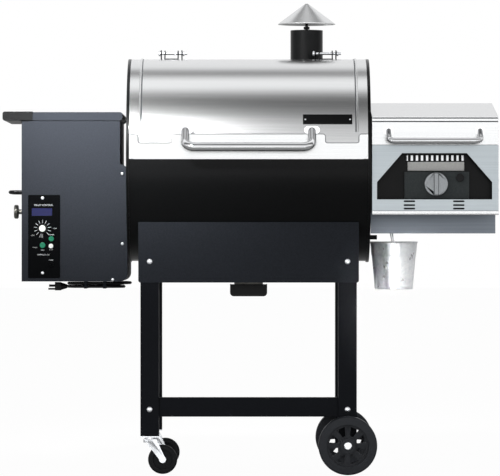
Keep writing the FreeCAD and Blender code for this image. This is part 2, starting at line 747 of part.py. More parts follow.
def make_wheels():
    """Two large wheels on one axle under the right legs, with push caps on its ends."""
    near = leg_front + wheel_gap
    far = near + wheel_width
    add("wheel_front", make_big_wheel(-far, -near))
    add("wheel_rear", make_big_wheel(near, far))
    x = leg_offset
    z = wheel_radius
    end = far + 4
    add("wheel_axle", along_y(x, -end, end, z, wheel_bore))
    caps = []
    spacers = []
    for sy in (-1, 1):
        y0, y1 = sorted((sy * (far + 0.5), sy * (far + 7)))
        cap = along_y(x, y0, y1, z, 10.5)
        outer = [e for e in cap.Edges if e.Closed and abs(e.CenterOfMass.y - sy * (far + 7)) < 0.1]
        cap = cap.makeFillet(2.5, outer)
        caps.append(cap.cut(along_y(x, -end, end, z, wheel_bore)))
        y0, y1 = sorted((sy * leg_front, sy * (near - 0.5)))
        spacers.append(ring((x, y0, z), (x, y1, z), 11, wheel_bore))
    add("wheel_axle", *caps)
    add("wheel_axle", *spacers)


def make_casters():
    """Two swivel casters under the left legs: plate with kingpin, fork, wheel and its rivet."""
    plates = []
    x = -leg_offset
    crown_top = left_leg_bottom - caster_plate - 5.5
    crown_low = 2 * caster_radius + 6
    arm = caster_width / 2 + 1.5
    for sy, name in ((-1, "front"), (1, "rear")):
        y = sy * (leg_front - leg_width / 2)
        top = left_leg_bottom
        w = leg_width / 2
        plate = block(x - w, x + w, y - w, y + w, top - caster_plate, top)
        boss = along_z(x, y, crown_top + 0.5, top - caster_plate, 14)
        kingpin = along_z(x, y, crown_low - 3, top - caster_plate, 5)
        plates.append(fused([plate, boss, kingpin]))
        crown = along_z(x, y, crown_low, crown_top, 17)
        axle_x = x + caster_trail
        pieces = [crown]
        for edge in (-1, 1):
            y0, y1 = sorted((y + edge * arm, y + edge * (arm + 2.5)))
            cheek = prism([(x - 15, y0, crown_top), (x + 17, y0, crown_top),
                           (axle_x + 9, y0, caster_radius), (axle_x - 9, y0, caster_radius)],
                          (0, y1 - y0, 0))
            pieces.append(cheek)
            pieces.append(along_y(axle_x, y0, y1, caster_radius, 9))
        fork = fused(pieces).cut(along_z(x, y, crown_low, crown_top, 5 + run_fit))
        fork = fork.cut(along_y(axle_x, y - 2 * arm, y + 2 * arm, caster_radius, 4))
        add("caster_fork_%s" % name, fork)
        rivet = along_y(axle_x, y - arm - 2.5, y + arm + 2.5, caster_radius, 4)
        heads = []
        for edge in (-1, 1):
            y0, y1 = sorted((y + edge * (arm + 2.5), y + edge * (arm + 5)))
            heads.append(along_y(axle_x, y0, y1, caster_radius, 7))
        add("caster_fork_%s" % name, fused([rivet] + heads))
        disc = along_y(axle_x, y - caster_width / 2, y + caster_width / 2, caster_radius, caster_radius)
        disc = disc.makeFillet(6.0, [e for e in disc.Edges if e.Closed])
        for edge in (-1, 1):
            y0, y1 = sorted((y + edge * caster_width / 2, y + edge * (caster_width / 2 - 5)))
            disc = disc.cut(ring((axle_x, y0, caster_radius), (axle_x, y1, caster_radius), 25, 10))
        add("caster_wheel_%s" % name, disc.cut(along_y(axle_x, y - 20, y + 20, caster_radius, 4 + run_fit)))
    add("caster_plates", *plates)


# ---- hopper -------------------------------------------------------------------------------
hopper_pivot_x = hopper_neck - 1.5
hopper_pivot_z = hopper_top + 9.0
knuckle = 4.0
knuckle_pin = 2.0
display_low = dial_z + 33
display_high = display_low + 20
gland_z = hopper_bottom + 86


def make_hopper():
    """Housing with a wide foot against the barrel, the pellet bin in it and a guard grid."""
    back = hopper_back
    upper = block(hopper_left, hopper_neck, hopper_front, back, hopper_bottom, hopper_top)
    lower = rounded_block(hopper_left, -half, hopper_front, back, hopper_bottom, hopper_shoulder,
                          hopper_corner, (0, 1, 0))
    lower = lower.fuse(block(hopper_left, hopper_neck, hopper_front, back, hopper_bottom,
                             hopper_shoulder)).removeSplitter()
    outer = fused([upper, lower])
    upper_in = block(hopper_left + sheet, hopper_neck - sheet, hopper_front + sheet, back - sheet,
                     hopper_bottom + sheet, hopper_top)
    lower_in = rounded_block(hopper_neck - 60, -half - sheet, hopper_front + sheet, back - sheet,
                             hopper_bottom + sheet, hopper_shoulder - sheet, hopper_corner - sheet,
                             (0, 1, 0))
    housing = outer.cut(upper_in).cut(lower_in)
    margin = 7.0
    housing = housing.cut(block(panel_left + margin, panel_right - margin, hopper_front,
                                hopper_front + sheet, panel_low + 20, panel_high - 14))
    housing = housing.cut(along_x(-half - 2 * sheet, -half, 0, auger_z, auger_tube_radius + gap / 2))
    housing = housing.cut(along_x(-half - 2 * sheet, -half, knob_y, knob_z, rod_radius + rod_clear))
    housing = housing.cut(along_x(hopper_left, hopper_left + sheet, knob_y, knob_z, rod_radius + rod_clear))
    housing = housing.cut(along_y(hank_x, back - sheet, back, gland_z, 7))
    add("hopper_housing", housing)
    clear = 4.0
    skin = 1.5

    def funnel(inset):
        x0 = hopper_left + sheet + clear + inset
        x1 = hopper_neck - sheet - clear - 3 + inset * -1
        y0 = hopper_front + sheet + clear + inset
        y1 = back - sheet - clear - inset
        rim_z = hopper_top - 8
        neck_z = hopper_top - 110
        foot_x0 = hopper_neck - 128 + inset
        foot_x1 = hopper_neck - 62 - inset
        foot_y = 22 - inset
        foot_z = auger_z + auger_tube_radius + 3

        def rim(xa, xb, ya, yb, z):
            return Part.makePolygon([V(xa, ya, z), V(xb, ya, z), V(xb, yb, z), V(xa, yb, z), V(xa, ya, z)])
        box_part = block(x0, x1, y0, y1, neck_z, rim_z)
        taper = Part.makeLoft([rim(x0, x1, y0, y1, neck_z), rim(foot_x0, foot_x1, -foot_y, foot_y, foot_z)],
                              True, True)
        return fused([box_part, taper])
    bin_shell = funnel(0).cut(funnel(skin))
    add("pellet_bin", bin_shell)
    inset = 60.0
    add("pellet_bin", grid(hopper_left + sheet + clear + skin, hopper_neck - sheet - clear - 3 - skin,
                             hopper_front + sheet + clear + skin, back - sheet - clear - skin,
                             hopper_top - inset, 3, 26))


def make_hopper_lid():
    """Pan lid that turns about a pin inside its own depth, a grip at its free end, its hinge."""
    z0 = hopper_top + gap
    z1 = hopper_top + hopper_lid_height
    y0 = hopper_front - 2
    y1 = hopper_back + 2
    right = hopper_pivot_x + 8
    pan_left = hopper_left - 5
    wall = 1.5
    px = hopper_pivot_x
    pz = hopper_pivot_z
    outer = fused([block(pan_left, px, y0, y1, z0, z1), block(px, right, y0, y1, pz, z1),
                   rod((px, y0, pz), (px, y1, pz), 8.0)])
    crest = []
    for edge in outer.Edges:
        spot = edge.CenterOfMass
        if abs(spot.x - right) < 0.5 and abs(spot.z - z1) < 0.5:
            crest.append(edge)
    outer = outer.makeFillet(7.0, crest)
    well = block(pan_left + wall, px - 5, y0 + wall, y1 - wall, z0 - 1, z1 - wall)
    under = block(px - 6, px + 9, y0 + wall, y1 - wall, z0 - 1, pz)
    pocket = block(px - 6, px + 5.5, y0 + wall, y1 - wall, z0 - 1, pz + 6)
    roof = block(px - 6, px + 1, y0 + wall, y1 - wall, z0 - 1, z1 - wall)
    add("hopper_lid", outer.cut(well).cut(under).cut(pocket).cut(roof))
    skin = 1.6
    shell = rounded_block(grip_left, grip_right + 30, y0 - skin, y1 + skin, z0 - 0.2, z1 + skin, 6.0,
                          (0, 1, 0))
    shell = shell.common(block(grip_left, grip_right, y0 - skin, y1 + skin, z0 - 0.2, z1 + skin))
    add("hopper_lid_grip", shell.cut(block(pan_left, grip_right, y0, y1, z0 - 1, z1)))
    fixed = []
    moving = []
    count = 7
    span = y1 - y0 - 2 * wall - 20
    length = span / count
    start = y0 + wall + 10
    for i in range(count):
        a = start + i * length + 0.4
        b = a + length - 0.8
        tube = rod((px, a, pz), (px, b, pz), knuckle)
        if i % 2 == 0:
            leaf = block(hopper_neck - sheet - 1.5, hopper_neck - sheet, a, b, hopper_top - 28, pz)
            fixed.append(fused([tube, leaf]))
        else:
            web = block(px - knuckle, px - knuckle + 1.5, a, b, pz, z1 - wall)
            tongue = block(px - 34, px - knuckle + 1.5, a, b, z1 - wall - 1.5, z1 - wall)
            moving.append(fused([tube, web, tongue]))
    bore = rod((px, y0, pz), (px, y1, pz), knuckle_pin + run_fit)
    add("hinge_brackets", *[piece.cut(bore) for piece in fixed])
    add("hopper_lid", *[piece.cut(bore) for piece in moving])
    add("hinge_brackets", rod((px, start, pz), (px, start + span, pz), knuckle_pin))


buttons = {"button_power": (dial_x + 23, dial_z - 27, 7.0), "button_feed": (dial_x, dial_z - 44, 7.5),
           "button_mode": (dial_x + 22, dial_z - 46, 6.0)}
display_left = dial_x - 28
display_right = dial_x + 25
panel_sheet = 2.0
jack_x = dial_x + 22
jack_z = panel_low + 35


def make_controls():
    """Control plate with display, dial, three press buttons, probe socket and electronics case."""
    face = hopper_front - panel_sheet
    plate = rounded_block(panel_left, panel_right, face, hopper_front, panel_low, panel_high, 3.0,
                          (0, 1, 0))
    plate = plate.cut(block(display_left, display_right, face, hopper_front, display_low, display_high))
    plate = plate.cut(along_y(dial_x, face, hopper_front, dial_z, 3 + run_fit))
    for x, z, r in buttons.values():
        plate = plate.cut(along_y(x, face, hopper_front, z, r + 0.4))
    plate = plate.cut(along_y(jack_x, face, hopper_front, jack_z, 3.5))
    add("control_panel", plate)
    add("display_window", block(display_left, display_right, face - 0.4, hopper_front + 1,
                                display_low, display_high))
    skirt = along_y(dial_x, face - 9, face - 0.8, dial_z, dial_radius)
    skirt = skirt.makeFillet(1.2, [e for e in skirt.Edges if e.Closed and e.CenterOfMass.y < face - 8])
    shaft = along_y(dial_x, face - 3, hopper_front + 6, dial_z, 3)
    add("control_dial", fused([skirt, shaft]))
    cap = along_y(dial_x, face - 14, face - 9, dial_z, 9)
    cap = cap.makeFillet(1.5, [e for e in cap.Edges if e.Closed and e.CenterOfMass.y < face - 13])
    add("control_dial", cap)
    for name, (x, z, r) in buttons.items():
        push = along_y(x, face - 3.5, hopper_front + 2, z, r)
        push = push.makeFillet(1.2, [e for e in push.Edges if e.Closed and e.CenterOfMass.y < face - 3])
        add(name, push)
    socket = along_y(jack_x, face - 3, hopper_front + 8, jack_z, 3.5)
    collar = along_y(jack_x, face - 3, face, jack_z, 6)
    add("control_panel", fused([socket, collar]).cut(along_y(jack_x, face - 3, hopper_front + 4, jack_z, 1.8)))
    case = rounded_block(panel_left + 10, panel_right - 10, hopper_front + 12, hopper_front + 42,
                         panel_low + 30, panel_high - 24, 4.0, (0, 1, 0))
    add("control_panel", case)
    screws = []
    edge_x = -half - 13.5
    for x, z, y in ((dial_x, panel_high - 8, face), (dial_x, panel_low + 13.5, face),
                    (edge_x, hopper_shoulder - 26, hopper_front), (edge_x, hopper_bottom + 99, hopper_front),
                    (edge_x - 25, hopper_bottom + 5, hopper_front)):
        screws.append(along_y(x, y - 2.5, y, z, 4.0))
    add("fasteners", *screws)


def make_side_handle():
    """Round bar grab handle on the hopper's left wall."""
    z = hopper_bottom + 235
    reach = 34.0
    points = [(hopper_left, -60, z), (hopper_left - reach, -60, z), (hopper_left - reach, 80, z),
              (hopper_left, 80, z)]
    add("side_handle", bar(points, [14, 14], 5.0))


# ---- sear box -----------------------------------------------------------------------------
sear_lid_bottom = sear_seam + gap
sear_pivot_y = sear_back + 5.0
sear_pivot_z = sear_seam + gap / 2
wall_y = sear_front + 45.0


def make_sear_box():
    """Open-topped box with its front panel, firewall, burner, grate, skirt and gas fittings."""
    s = sheet
    shell = block(sear_left, sear_right, sear_front + s, sear_back, sear_bottom, sear_seam)
    hollow = block(sear_left + s, sear_right - s, sear_front, sear_back - s, sear_bottom + s, sear_seam)
    add("sear_body", shell.cut(hollow))
    panel = block(sear_left, sear_right, sear_front, sear_front + s, sear_bottom, sear_seam)
    outline = [(window_top_left, window_high), (window_top_right, window_high),
               (window_right, window_shoulder), (window_right, window_low),
               (window_left, window_low), (window_left, window_shoulder)]
    opening = prism([(x, sear_front - 1, z) for x, z in outline], (0, s + 2, 0))
    panel = panel.cut(opening)
    for x0 in (sear_left + 81.5, sear_left + 209.5):
        for z in (sear_bottom + 1, sear_bottom + 10, sear_bottom + 20):
            panel = panel.cut(slot(x0, x0 + 30, sear_front - 1, sear_front + s + 1, z + 2, z + 6.5))
    add("sear_front_panel", panel)
    wall = block(sear_left + s, sear_right - s, wall_y, wall_y + 1.5, sear_bottom + s, sear_seam - 4)
    for i in range(comb_count):
        x = comb_left + i * comb_pitch
        wall = wall.cut(block(x, x + comb_slot, wall_y - 1, wall_y + 3, sear_bottom + 130, sear_bottom + 144))
    wall = wall.cut(along_y(gas_knob_x, wall_y - 1, wall_y + 3, gas_knob_z, 8.3))
    wall = wall.cut(along_y(spark_x, wall_y - 1, wall_y + 3, spark_z, 6.3))
    add("sear_firewall", wall)
    panel_y = sear_front + 22
    fascia = block(fascia_left, fascia_right, panel_y, panel_y + 1.5, fascia_low, fascia_high)
    returns = [block(x, x + 1.5, panel_y, wall_y, fascia_low, fascia_high)
               for x in (fascia_left, fascia_right - 1.5)]
    fascia = fused([fascia] + returns)
    fascia = fascia.cut(along_y(gas_knob_x, panel_y - 1, panel_y + 3, gas_knob_z, 6.2))
    fascia = fascia.cut(along_y(spark_x, panel_y - 1, panel_y + 3, spark_z, 7.3))
    add("gas_panel", fascia)
    add("sear_firewall", block(fascia_left + 9, fascia_right - 12, wall_y - 1.0, wall_y,
                               fascia_high + 3, fascia_high + 26))
    valve = [along_y(gas_knob_x, panel_y + 6, wall_y + 14, gas_knob_z, 8),
             block(gas_knob_x - 12, gas_knob_x + 12, panel_y + 4, wall_y - 2, gas_knob_z - 10, gas_knob_z + 12)]
    stem_bore = along_y(gas_knob_x, panel_y - 1, panel_y + 16, gas_knob_z, 4 + run_fit)
    add("sear_burner", fused(valve).cut(stem_bore))
    knob = along_y(gas_knob_x, panel_y - 14, panel_y - 1, gas_knob_z, gas_knob_radius)
    knob = knob.makeFillet(2.0, [e for e in knob.Edges if e.Closed and e.CenterOfMass.y < panel_y - 12])
    grip = rounded_block(gas_knob_x - 6, gas_knob_x + 6, panel_y - 26, panel_y - 10,
                         gas_knob_z - gas_knob_radius + 3, gas_knob_z + gas_knob_radius - 3, 3.0, (0, 0, 1))
    stem = along_y(gas_knob_x, panel_y - 5, panel_y + 14, gas_knob_z, 4)
    add("gas_knob", fused([knob, grip, stem]))
    push = along_y(spark_x, panel_y - 10, panel_y + 10, spark_z, 7)
    face = along_y(spark_x, panel_y - 10, panel_y - 6, spark_z, 10.5)
    add("spark_button", fused([push, face]))
    add("sear_burner", along_y(spark_x, panel_y + 17, wall_y + 30, spark_z, 6))
    tube_z = gas_knob_z - 20
    burner = rounded_block(sear_left + 59.5, sear_left + 273.5, wall_y + 40, sear_back - 45,
                           tube_z, tube_z + 18, 8.0, (0, 0, 1))
    neck = along_y(gas_knob_x, wall_y + 16, wall_y + 44, tube_z + 9, 9)
    add("sear_burner", fused([burner, neck]))
    add("sear_grate", grid(sear_left + 8, sear_right - 8, wall_y + 8, sear_back - 8, sear_seam - 16, 8, 20))
    add("sear_skirt", rounded_block(sear_left, sear_right, sear_front - 8, sear_front + 24, sear_bottom - 11,
                                    sear_bottom, 2.0, (1, 0, 0)))
    skirt_y = -110.0
    add("sear_skirt", block(sear_left, sear_right, skirt_y - s, skirt_y,
                            sear_bottom - skirt_drop, sear_bottom))
    joins = []
    for y in (-90.0, 100.0):
        for z in (sear_bottom + 34, sear_bottom + 114):
            joins.append(rod((half, y, z), (sear_left, y, z), 12))
    add("sear_body", *joins)
    inlet_y = 60.0
    inlet_z = sear_bottom - 15
    hanger = block(sear_right - 6, sear_right - 3, inlet_y - 16, inlet_y + 16,
                   inlet_z - 16, sear_bottom)
    flare = along_x(sear_right - 14, sear_right + 8, inlet_y, inlet_z, 7.9)
    add("gas_inlet", fused([hanger, flare]).cut(along_x(sear_right - 16, sear_right + 9, inlet_y, inlet_z, 4)))
    vents = []
    for z in (sear_bottom + 79, sear_bottom + 54):
        vents.append(along_x(sear_right, sear_right + 4, -200, z, 5))
    add("fasteners", *vents)


def make_sear_lid():
    """Lid with a sloping top, its bar handle on two feet, and a knuckle hinge at the back."""
    z0 = sear_lid_bottom
    z1 = sear_seam + sear_lid_front
    z2 = sear_seam + sear_lid_top

    def profile(x, inset):
        y0 = sear_front + inset
        y1 = sear_back - inset
        low = z0 - (1 if inset else 0)
        return [(x, y0, low), (x, y0, z1 - inset), (x, sear_slope_back, z2 - inset), (x, y1, z2 - inset),
                (x, y1, low)]
    x0 = sear_left
    x1 = sear_right
    s = lid_sheet
    lid = prism(profile(x0, 0), (x1 - x0, 0, 0))
    lid = lid.cut(prism(profile(x0 + s, s), (x1 - x0 - 2 * s, 0, 0)))
    add("sear_lid", lid)
    mount_z = sear_seam + 37
    bar_z = sear_seam + 10
    foot_y = sear_front - 4
    feet = []
    for x in (sear_left + 42.5, sear_left + 279.5):
        feet.append(along_y(x, foot_y, sear_front, mount_z, 13))
    add("sear_handle", *feet)
    grip = u_handle(sear_left + 42.5, sear_left + 279.5, sear_front, mount_z, 50, bar_z,
                    sear_handle_radius, 16.0)
    add("sear_handle", grip.cut(block(sear_left, sear_right, foot_y, sear_back, sear_seam, 2 * sear_seam)))
    fixed = []
    moving = []
    count = 7
    start = sear_left + 20
    length = (sear_right - sear_left - 40) / count
    py = sear_pivot_y
    pz = sear_pivot_z
    for i in range(count):
        a = start + i * length + 0.4
        b = a + length - 0.8
        tube = along_x(a, b, py, pz, knuckle)
        if i % 2 == 0:
            leaf = block(a, b, sear_back, sear_back + 1.5, sear_seam - 26, sear_seam - gap)
            web = block(a, b, sear_back, py, pz - knuckle, pz - knuckle + 1.5)
            fixed.append(fused([tube, leaf, web]))
        else:
            leaf = block(a, b, sear_back, sear_back + 1.5, sear_lid_bottom + gap, sear_seam + 27)
            web = block(a, b, sear_back, py, pz + knuckle - 1.5, pz + knuckle)
            moving.append(fused([tube, leaf, web]))
    bore = along_x(start, start + 7 * length, py, pz, knuckle_pin + run_fit)
    add("hinge_brackets", *[piece.cut(bore) for piece in fixed])
    add("sear_lid", *[piece.cut(bore) for piece in moving])
    add("hinge_brackets", along_x(start, start + 7 * length, py, pz, knuckle_pin))


# ---- grease bucket ------------------------------------------------------------------------
def make_bucket():
    """Drain spout, peg, pressed bucket with a rolled rim, and its wire bail on the peg."""
    spout = ring((half - cap_depth - 14, 0, spout_z), (half + 23, 0, spout_z), spout_radius,
                 spout_radius - 1.2)
    add("drain_spout", spout)
    ear_z = bucket_top - 8
    lean = math.radians(math.degrees(math.asin(bail_lean / bail_height)))
    apex_x = bucket_x - bail_height * math.sin(lean)
    apex_z = ear_z + bail_height * math.cos(lean)
    peg_top = apex_z - bail_wire - 0.4
    peg_radius = 3.5
    peg = along_x(half, apex_x + 8, 0, peg_top - peg_radius, peg_radius)
    collar = along_x(half, half + 3, 0, peg_top - peg_radius, 9)
    add("drain_spout", fused([peg, collar]))
    t = bucket_sheet
    low = bucket_top - bucket_height
    r0 = bucket_foot_radius
    r1 = bucket_rim_radius - 2
    body = [(0, low), (r0, low), (r1, bucket_top), (r1 - t, bucket_top), (r0 - t, low + t), (0, low + t)]
    shell = turned(body, bucket_x, 0)
    rim = Part.makeTorus(r1 - t / 2, 2.0, V(bucket_x, 0, bucket_top - 2))
    ears = []
    for sy in (-1, 1):
        y0, y1 = sorted((sy * (r1 - 4), sy * (r1 + 3)))
        ears.append(along_y(bucket_x, y0, y1, ear_z, 4))
    ears_out = fused(ears).cut(turned([(0, low), (r0 - t, low), (r1 - t, bucket_top), (0, bucket_top)],
                                      bucket_x, 0))
    pail = fused([shell, rim] + list(ears_out.Solids))
    pin_hole = along_y(bucket_x, -r1 - 4, r1 + 4, ear_z, bail_wire + run_fit)
    pail = pail.cut(pin_hole.cut(rod((bucket_x, 0, low), (bucket_x, 0, bucket_top), r1 - 0.2)))
    add("bucket", pail)
    tip = r1 + 8
    lift = 0.62

    def on_plane(y, up):
        return (bucket_x - up * math.sin(lean), y, ear_z + up * math.cos(lean))
    points = [(bucket_x, -r1 - 0.4, ear_z), on_plane(-tip, 0), on_plane(-tip, bail_height * lift * 0.6),
              on_plane(-tip * 0.55, bail_height), on_plane(tip * 0.55, bail_height),
              on_plane(tip, bail_height * lift * 0.6), on_plane(tip, 0), (bucket_x, r1 + 0.4, ear_z)]
    add("bucket_bail", bar(points, [2.5, 24, 24, 24, 24, 2.5], bail_wire))


# ---- mains cord ---------------------------------------------------------------------------
hank_outer = hank_inner + 2 * hank_pitch
hank_top_z = hopper_bottom - hank_gap - cord_radius
hank_low_z = hank_top_z - hank_rise
strand_y = hank_y + hank_outer
# the free run from the back of the hopper, down and forward to the hank, chosen by hand
# each step is from the hank's middle in X, from the barrel's axis in Y and from the hank's top layer in Z
cord_steps = [(0, 240, 91.6), (0, 262, 91.6), (3, 288, 70.6), (11, 294, 35.6), (27, 276, 7.6), (51, 244, 0),
              (73, 200, 0), (85, 148, 0), (87, 96, 0), (77, 52, 0), (57, 27, 0), (35, 20, 0)]
cord_route = [(hank_x + x, y, hank_top_z + z) for x, y, z in cord_steps]


def stadium(radius, z0, z1):
    x0 = hank_x - hank_straight / 2
    x1 = hank_x + hank_straight / 2
    return fused([block(x0, x1, hank_y - radius, hank_y + radius, z0, z1),
                  along_z(x0, hank_y, z0, z1, radius), along_z(x1, hank_y, z0, z1, radius)])


def make_cord():
    """Strain relief, the lead's free run, its two-layer hank, three clips' straps and the plug."""
    pts = [V(*p) for p in cord_route]
    radii = []
    for i in range(1, len(pts) - 1):
        into = pts[i] - pts[i - 1]
        out = pts[i + 1] - pts[i]
        turn = into.getAngle(out)
        radii.append(0.45 * min(into.Length, out.Length) / math.tan(turn / 2))
    print("cord bend radii", [round(r) for r in radii])
    lead = bar(cord_route, radii, cord_radius)
    wire = path(cord_route, radii)
    print("lead length", round(wire.Length), "volume ratio",
          round(lead.Volume / (wire.Length * math.pi * cord_radius ** 2), 4))
    hank_low = hank_low_z - cord_radius
    hank_high = hank_top_z + cord_radius
    hank = stadium(hank_outer + cord_radius, hank_low, hank_high)
    hank = hank.cut(stadium(hank_inner - cord_radius, hank_low, hank_high))
    add("cord_lead", lead.cut(stadium(hank_outer + cord_radius, hank_low, hank_high)))
    add("cord_hank", hank)
    x, y, z = cord_route[0]
    nut = along_y(x, hopper_back, hopper_back + 6, z, 11)
    cone = Part.makeCone(8.0, cord_radius + 1.2, y - hopper_back - 6, V(x, hopper_back + 6, z), V(0, 1, 0))
    spigot = along_y(x, hopper_back - sheet - 8, hopper_back, z, 7)
    add("cord_gland", fused([nut, cone, spigot]))
    plug_right = hank_x - hank_straight / 2 - hank_outer - cord_radius - 1
    tail = along_x(plug_right - 4, hank_x - hank_straight / 2 - 18, strand_y, hank_low_z, cord_radius)
    tail = tail.cut(stadium(hank_outer + cord_radius, hank_low, hank_high))
    add("cord_plug", tail)
    plug_left = plug_right - 32
    front = rounded_block(plug_left, plug_left + 15, strand_y - 14, strand_y + 14, hank_low_z - 11,
                          hank_low_z + 11, 4.0, (1, 0, 0))
    nose = Part.makeCone(10.5, cord_radius + 1.2, 17 + 0, V(plug_left + 15, strand_y, hank_low_z), V(1, 0, 0))
    prongs = [block(plug_left - 16, plug_left + 1, strand_y - 7.2, strand_y - 5.7, hank_low_z - 1.5, hank_low_z + 4.7),
              block(plug_left - 16, plug_left + 1, strand_y + 5.7, strand_y + 7.2, hank_low_z - 1.5, hank_low_z + 4.7),
              along_x(plug_left - 18, plug_left + 1, strand_y, hank_low_z - 7, 2.4)]
    body = fused([front, nose] + prongs)
    add("cord_plug", body.cut(along_x(plug_right - 4, plug_right + 4, strand_y, hank_low_z, cord_radius)))
    straps = []
    side = hank_outer + cord_radius + 1.0
    for x in (hank_x - 27, hank_x + 23):
        for sy in (-1, 1):
            y0, y1 = sorted((hank_y + sy * side, hank_y + sy * (side + 1.2)))
            post = block(x - 4, x + 4, y0, y1, hank_low - 1.4, hopper_bottom)
            toe0, toe1 = sorted((hank_y + sy * (side + 1.2), hank_y + sy * (side - 16)))
            toe = block(x - 4, x + 4, toe0, toe1, hank_low - 1.4, hank_low - 0.2)
            straps.append(fused([post, toe]))
    add("hopper_housing", *straps)


make_barrel()
make_lid()
make_lid_handle()
make_lid_hinges()
make_chimney()
make_cooking_parts()
make_auger()
make_ash_parts()
make_frame()
make_wheels()
make_casters()
make_hopper()
make_hopper_lid()
make_controls()
make_side_handle()
make_sear_box()
make_sear_lid()
make_bucket()
make_cord()

# ---- set the origin and write the pieces --------------------------------------------------
cord_pieces = ("cord_lead", "cord_hank", "cord_plug", "cord_gland")
whole = FreeCAD.BoundBox()
for name, solids in nodes.items():
    if name not in cord_pieces:
        for solid in solids:
            whole.add(solid.optimalBoundingBox(False, False))
shift = V(-whole.Center.x, -whole.Center.y, -whole.ZMin)
os.makedirs("parts", exist_ok=True)
for name, solids in nodes.items():
    shape = Part.makeCompound(solids) if len(solids) > 1 else solids[0].copy()
    shape.translate(shift)
    shape.exportStep("parts/%s.step" % name)
print(len(nodes), "nodes; origin shift", [round(c, 3) for c in shift])
print("size", round(whole.XLength, 1), round(whole.YLength, 1), round(whole.ZLength, 1))
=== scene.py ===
import json
import math
import bpy
import bmesh
import numpy as np
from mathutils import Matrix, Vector

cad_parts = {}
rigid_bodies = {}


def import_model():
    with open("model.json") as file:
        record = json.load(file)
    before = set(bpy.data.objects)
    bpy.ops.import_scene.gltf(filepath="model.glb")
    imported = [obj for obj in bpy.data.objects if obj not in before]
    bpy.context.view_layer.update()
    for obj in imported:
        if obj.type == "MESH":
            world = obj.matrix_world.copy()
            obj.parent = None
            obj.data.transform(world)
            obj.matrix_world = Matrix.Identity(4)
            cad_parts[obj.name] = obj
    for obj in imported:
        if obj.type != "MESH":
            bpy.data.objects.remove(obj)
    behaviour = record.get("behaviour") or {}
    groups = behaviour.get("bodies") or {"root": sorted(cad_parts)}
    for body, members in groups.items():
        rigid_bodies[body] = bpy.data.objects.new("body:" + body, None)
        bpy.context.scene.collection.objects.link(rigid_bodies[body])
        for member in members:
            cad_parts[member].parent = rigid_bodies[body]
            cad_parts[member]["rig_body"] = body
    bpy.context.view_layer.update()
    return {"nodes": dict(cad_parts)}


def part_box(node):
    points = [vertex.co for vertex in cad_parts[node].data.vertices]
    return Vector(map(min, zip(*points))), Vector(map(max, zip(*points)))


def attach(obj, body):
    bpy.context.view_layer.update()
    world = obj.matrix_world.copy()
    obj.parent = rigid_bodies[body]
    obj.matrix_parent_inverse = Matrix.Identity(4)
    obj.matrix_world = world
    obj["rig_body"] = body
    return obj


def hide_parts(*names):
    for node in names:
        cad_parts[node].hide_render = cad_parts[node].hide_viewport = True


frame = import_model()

scene = bpy.context.scene
nodes = frame["nodes"]
mm = 0.001
print("frame loaded", len(nodes), "nodes")

barrelLow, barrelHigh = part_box("barrel_body")
barrelMid = (barrelLow + barrelHigh) / 2

# camera
cameraSet = {"distance": 10.9, "height": 0.615, "side": 0.0037, "lens": 295.8}

cameraData = bpy.data.cameras.new("studioCamera")
cameraData.lens = cameraSet["lens"]
cameraData.sensor_width = 36
camera = bpy.data.objects.new("studioCamera", cameraData)
camera.location = (barrelMid.x + cameraSet["side"], barrelMid.y - cameraSet["distance"], cameraSet["height"])
camera.rotation_euler = (math.pi / 2, 0, 0)
cameraData.clip_end = 200
scene.collection.objects.link(camera)
scene.camera = camera
scene.view_settings.view_transform = "Standard"


# materials
def hexLinear(code):
    # sRGB hex to linear RGBA: each channel through the sRGB curve
    out = []
    for i in (0, 2, 4):
        c = int(code[i:i + 2], 16) / 255
        out.append(c / 12.92 if c <= 0.04045 else ((c + 0.055) / 1.055) ** 2.4)
    return (*out, 1.0)


def addNode(tree, kind, settings=None, links=None):
    # adds one node; settings are its properties or input values, links are input: output
    node = tree.nodes.new(kind)
    for key, value in (settings or {}).items():
        if isinstance(key, int) or key in node.inputs.keys():
            node.inputs[key].default_value = value
        else:
            setattr(node, key, value)
    for key, source in (links or {}).items():
        tree.links.new(source, node.inputs[key])
    return node


def blankMaterial(name):
    material = bpy.data.materials.new(name)
    material.use_nodes = True
    tree = material.node_tree
    for node in list(tree.nodes):
        if node.type != "BSDF_PRINCIPLED" and node.type != "OUTPUT_MATERIAL":
            tree.nodes.remove(node)
    return material, tree, tree.nodes["Principled BSDF"]


def setRamp(node, stops):
    ramp = node.color_ramp
    while len(ramp.elements) > 1:
        ramp.elements.remove(ramp.elements[-1])
    for i, (place, colour) in enumerate(stops):
        element = ramp.elements[0] if i == 0 else ramp.elements.new(place)
        element.position = place
        element.color = colour


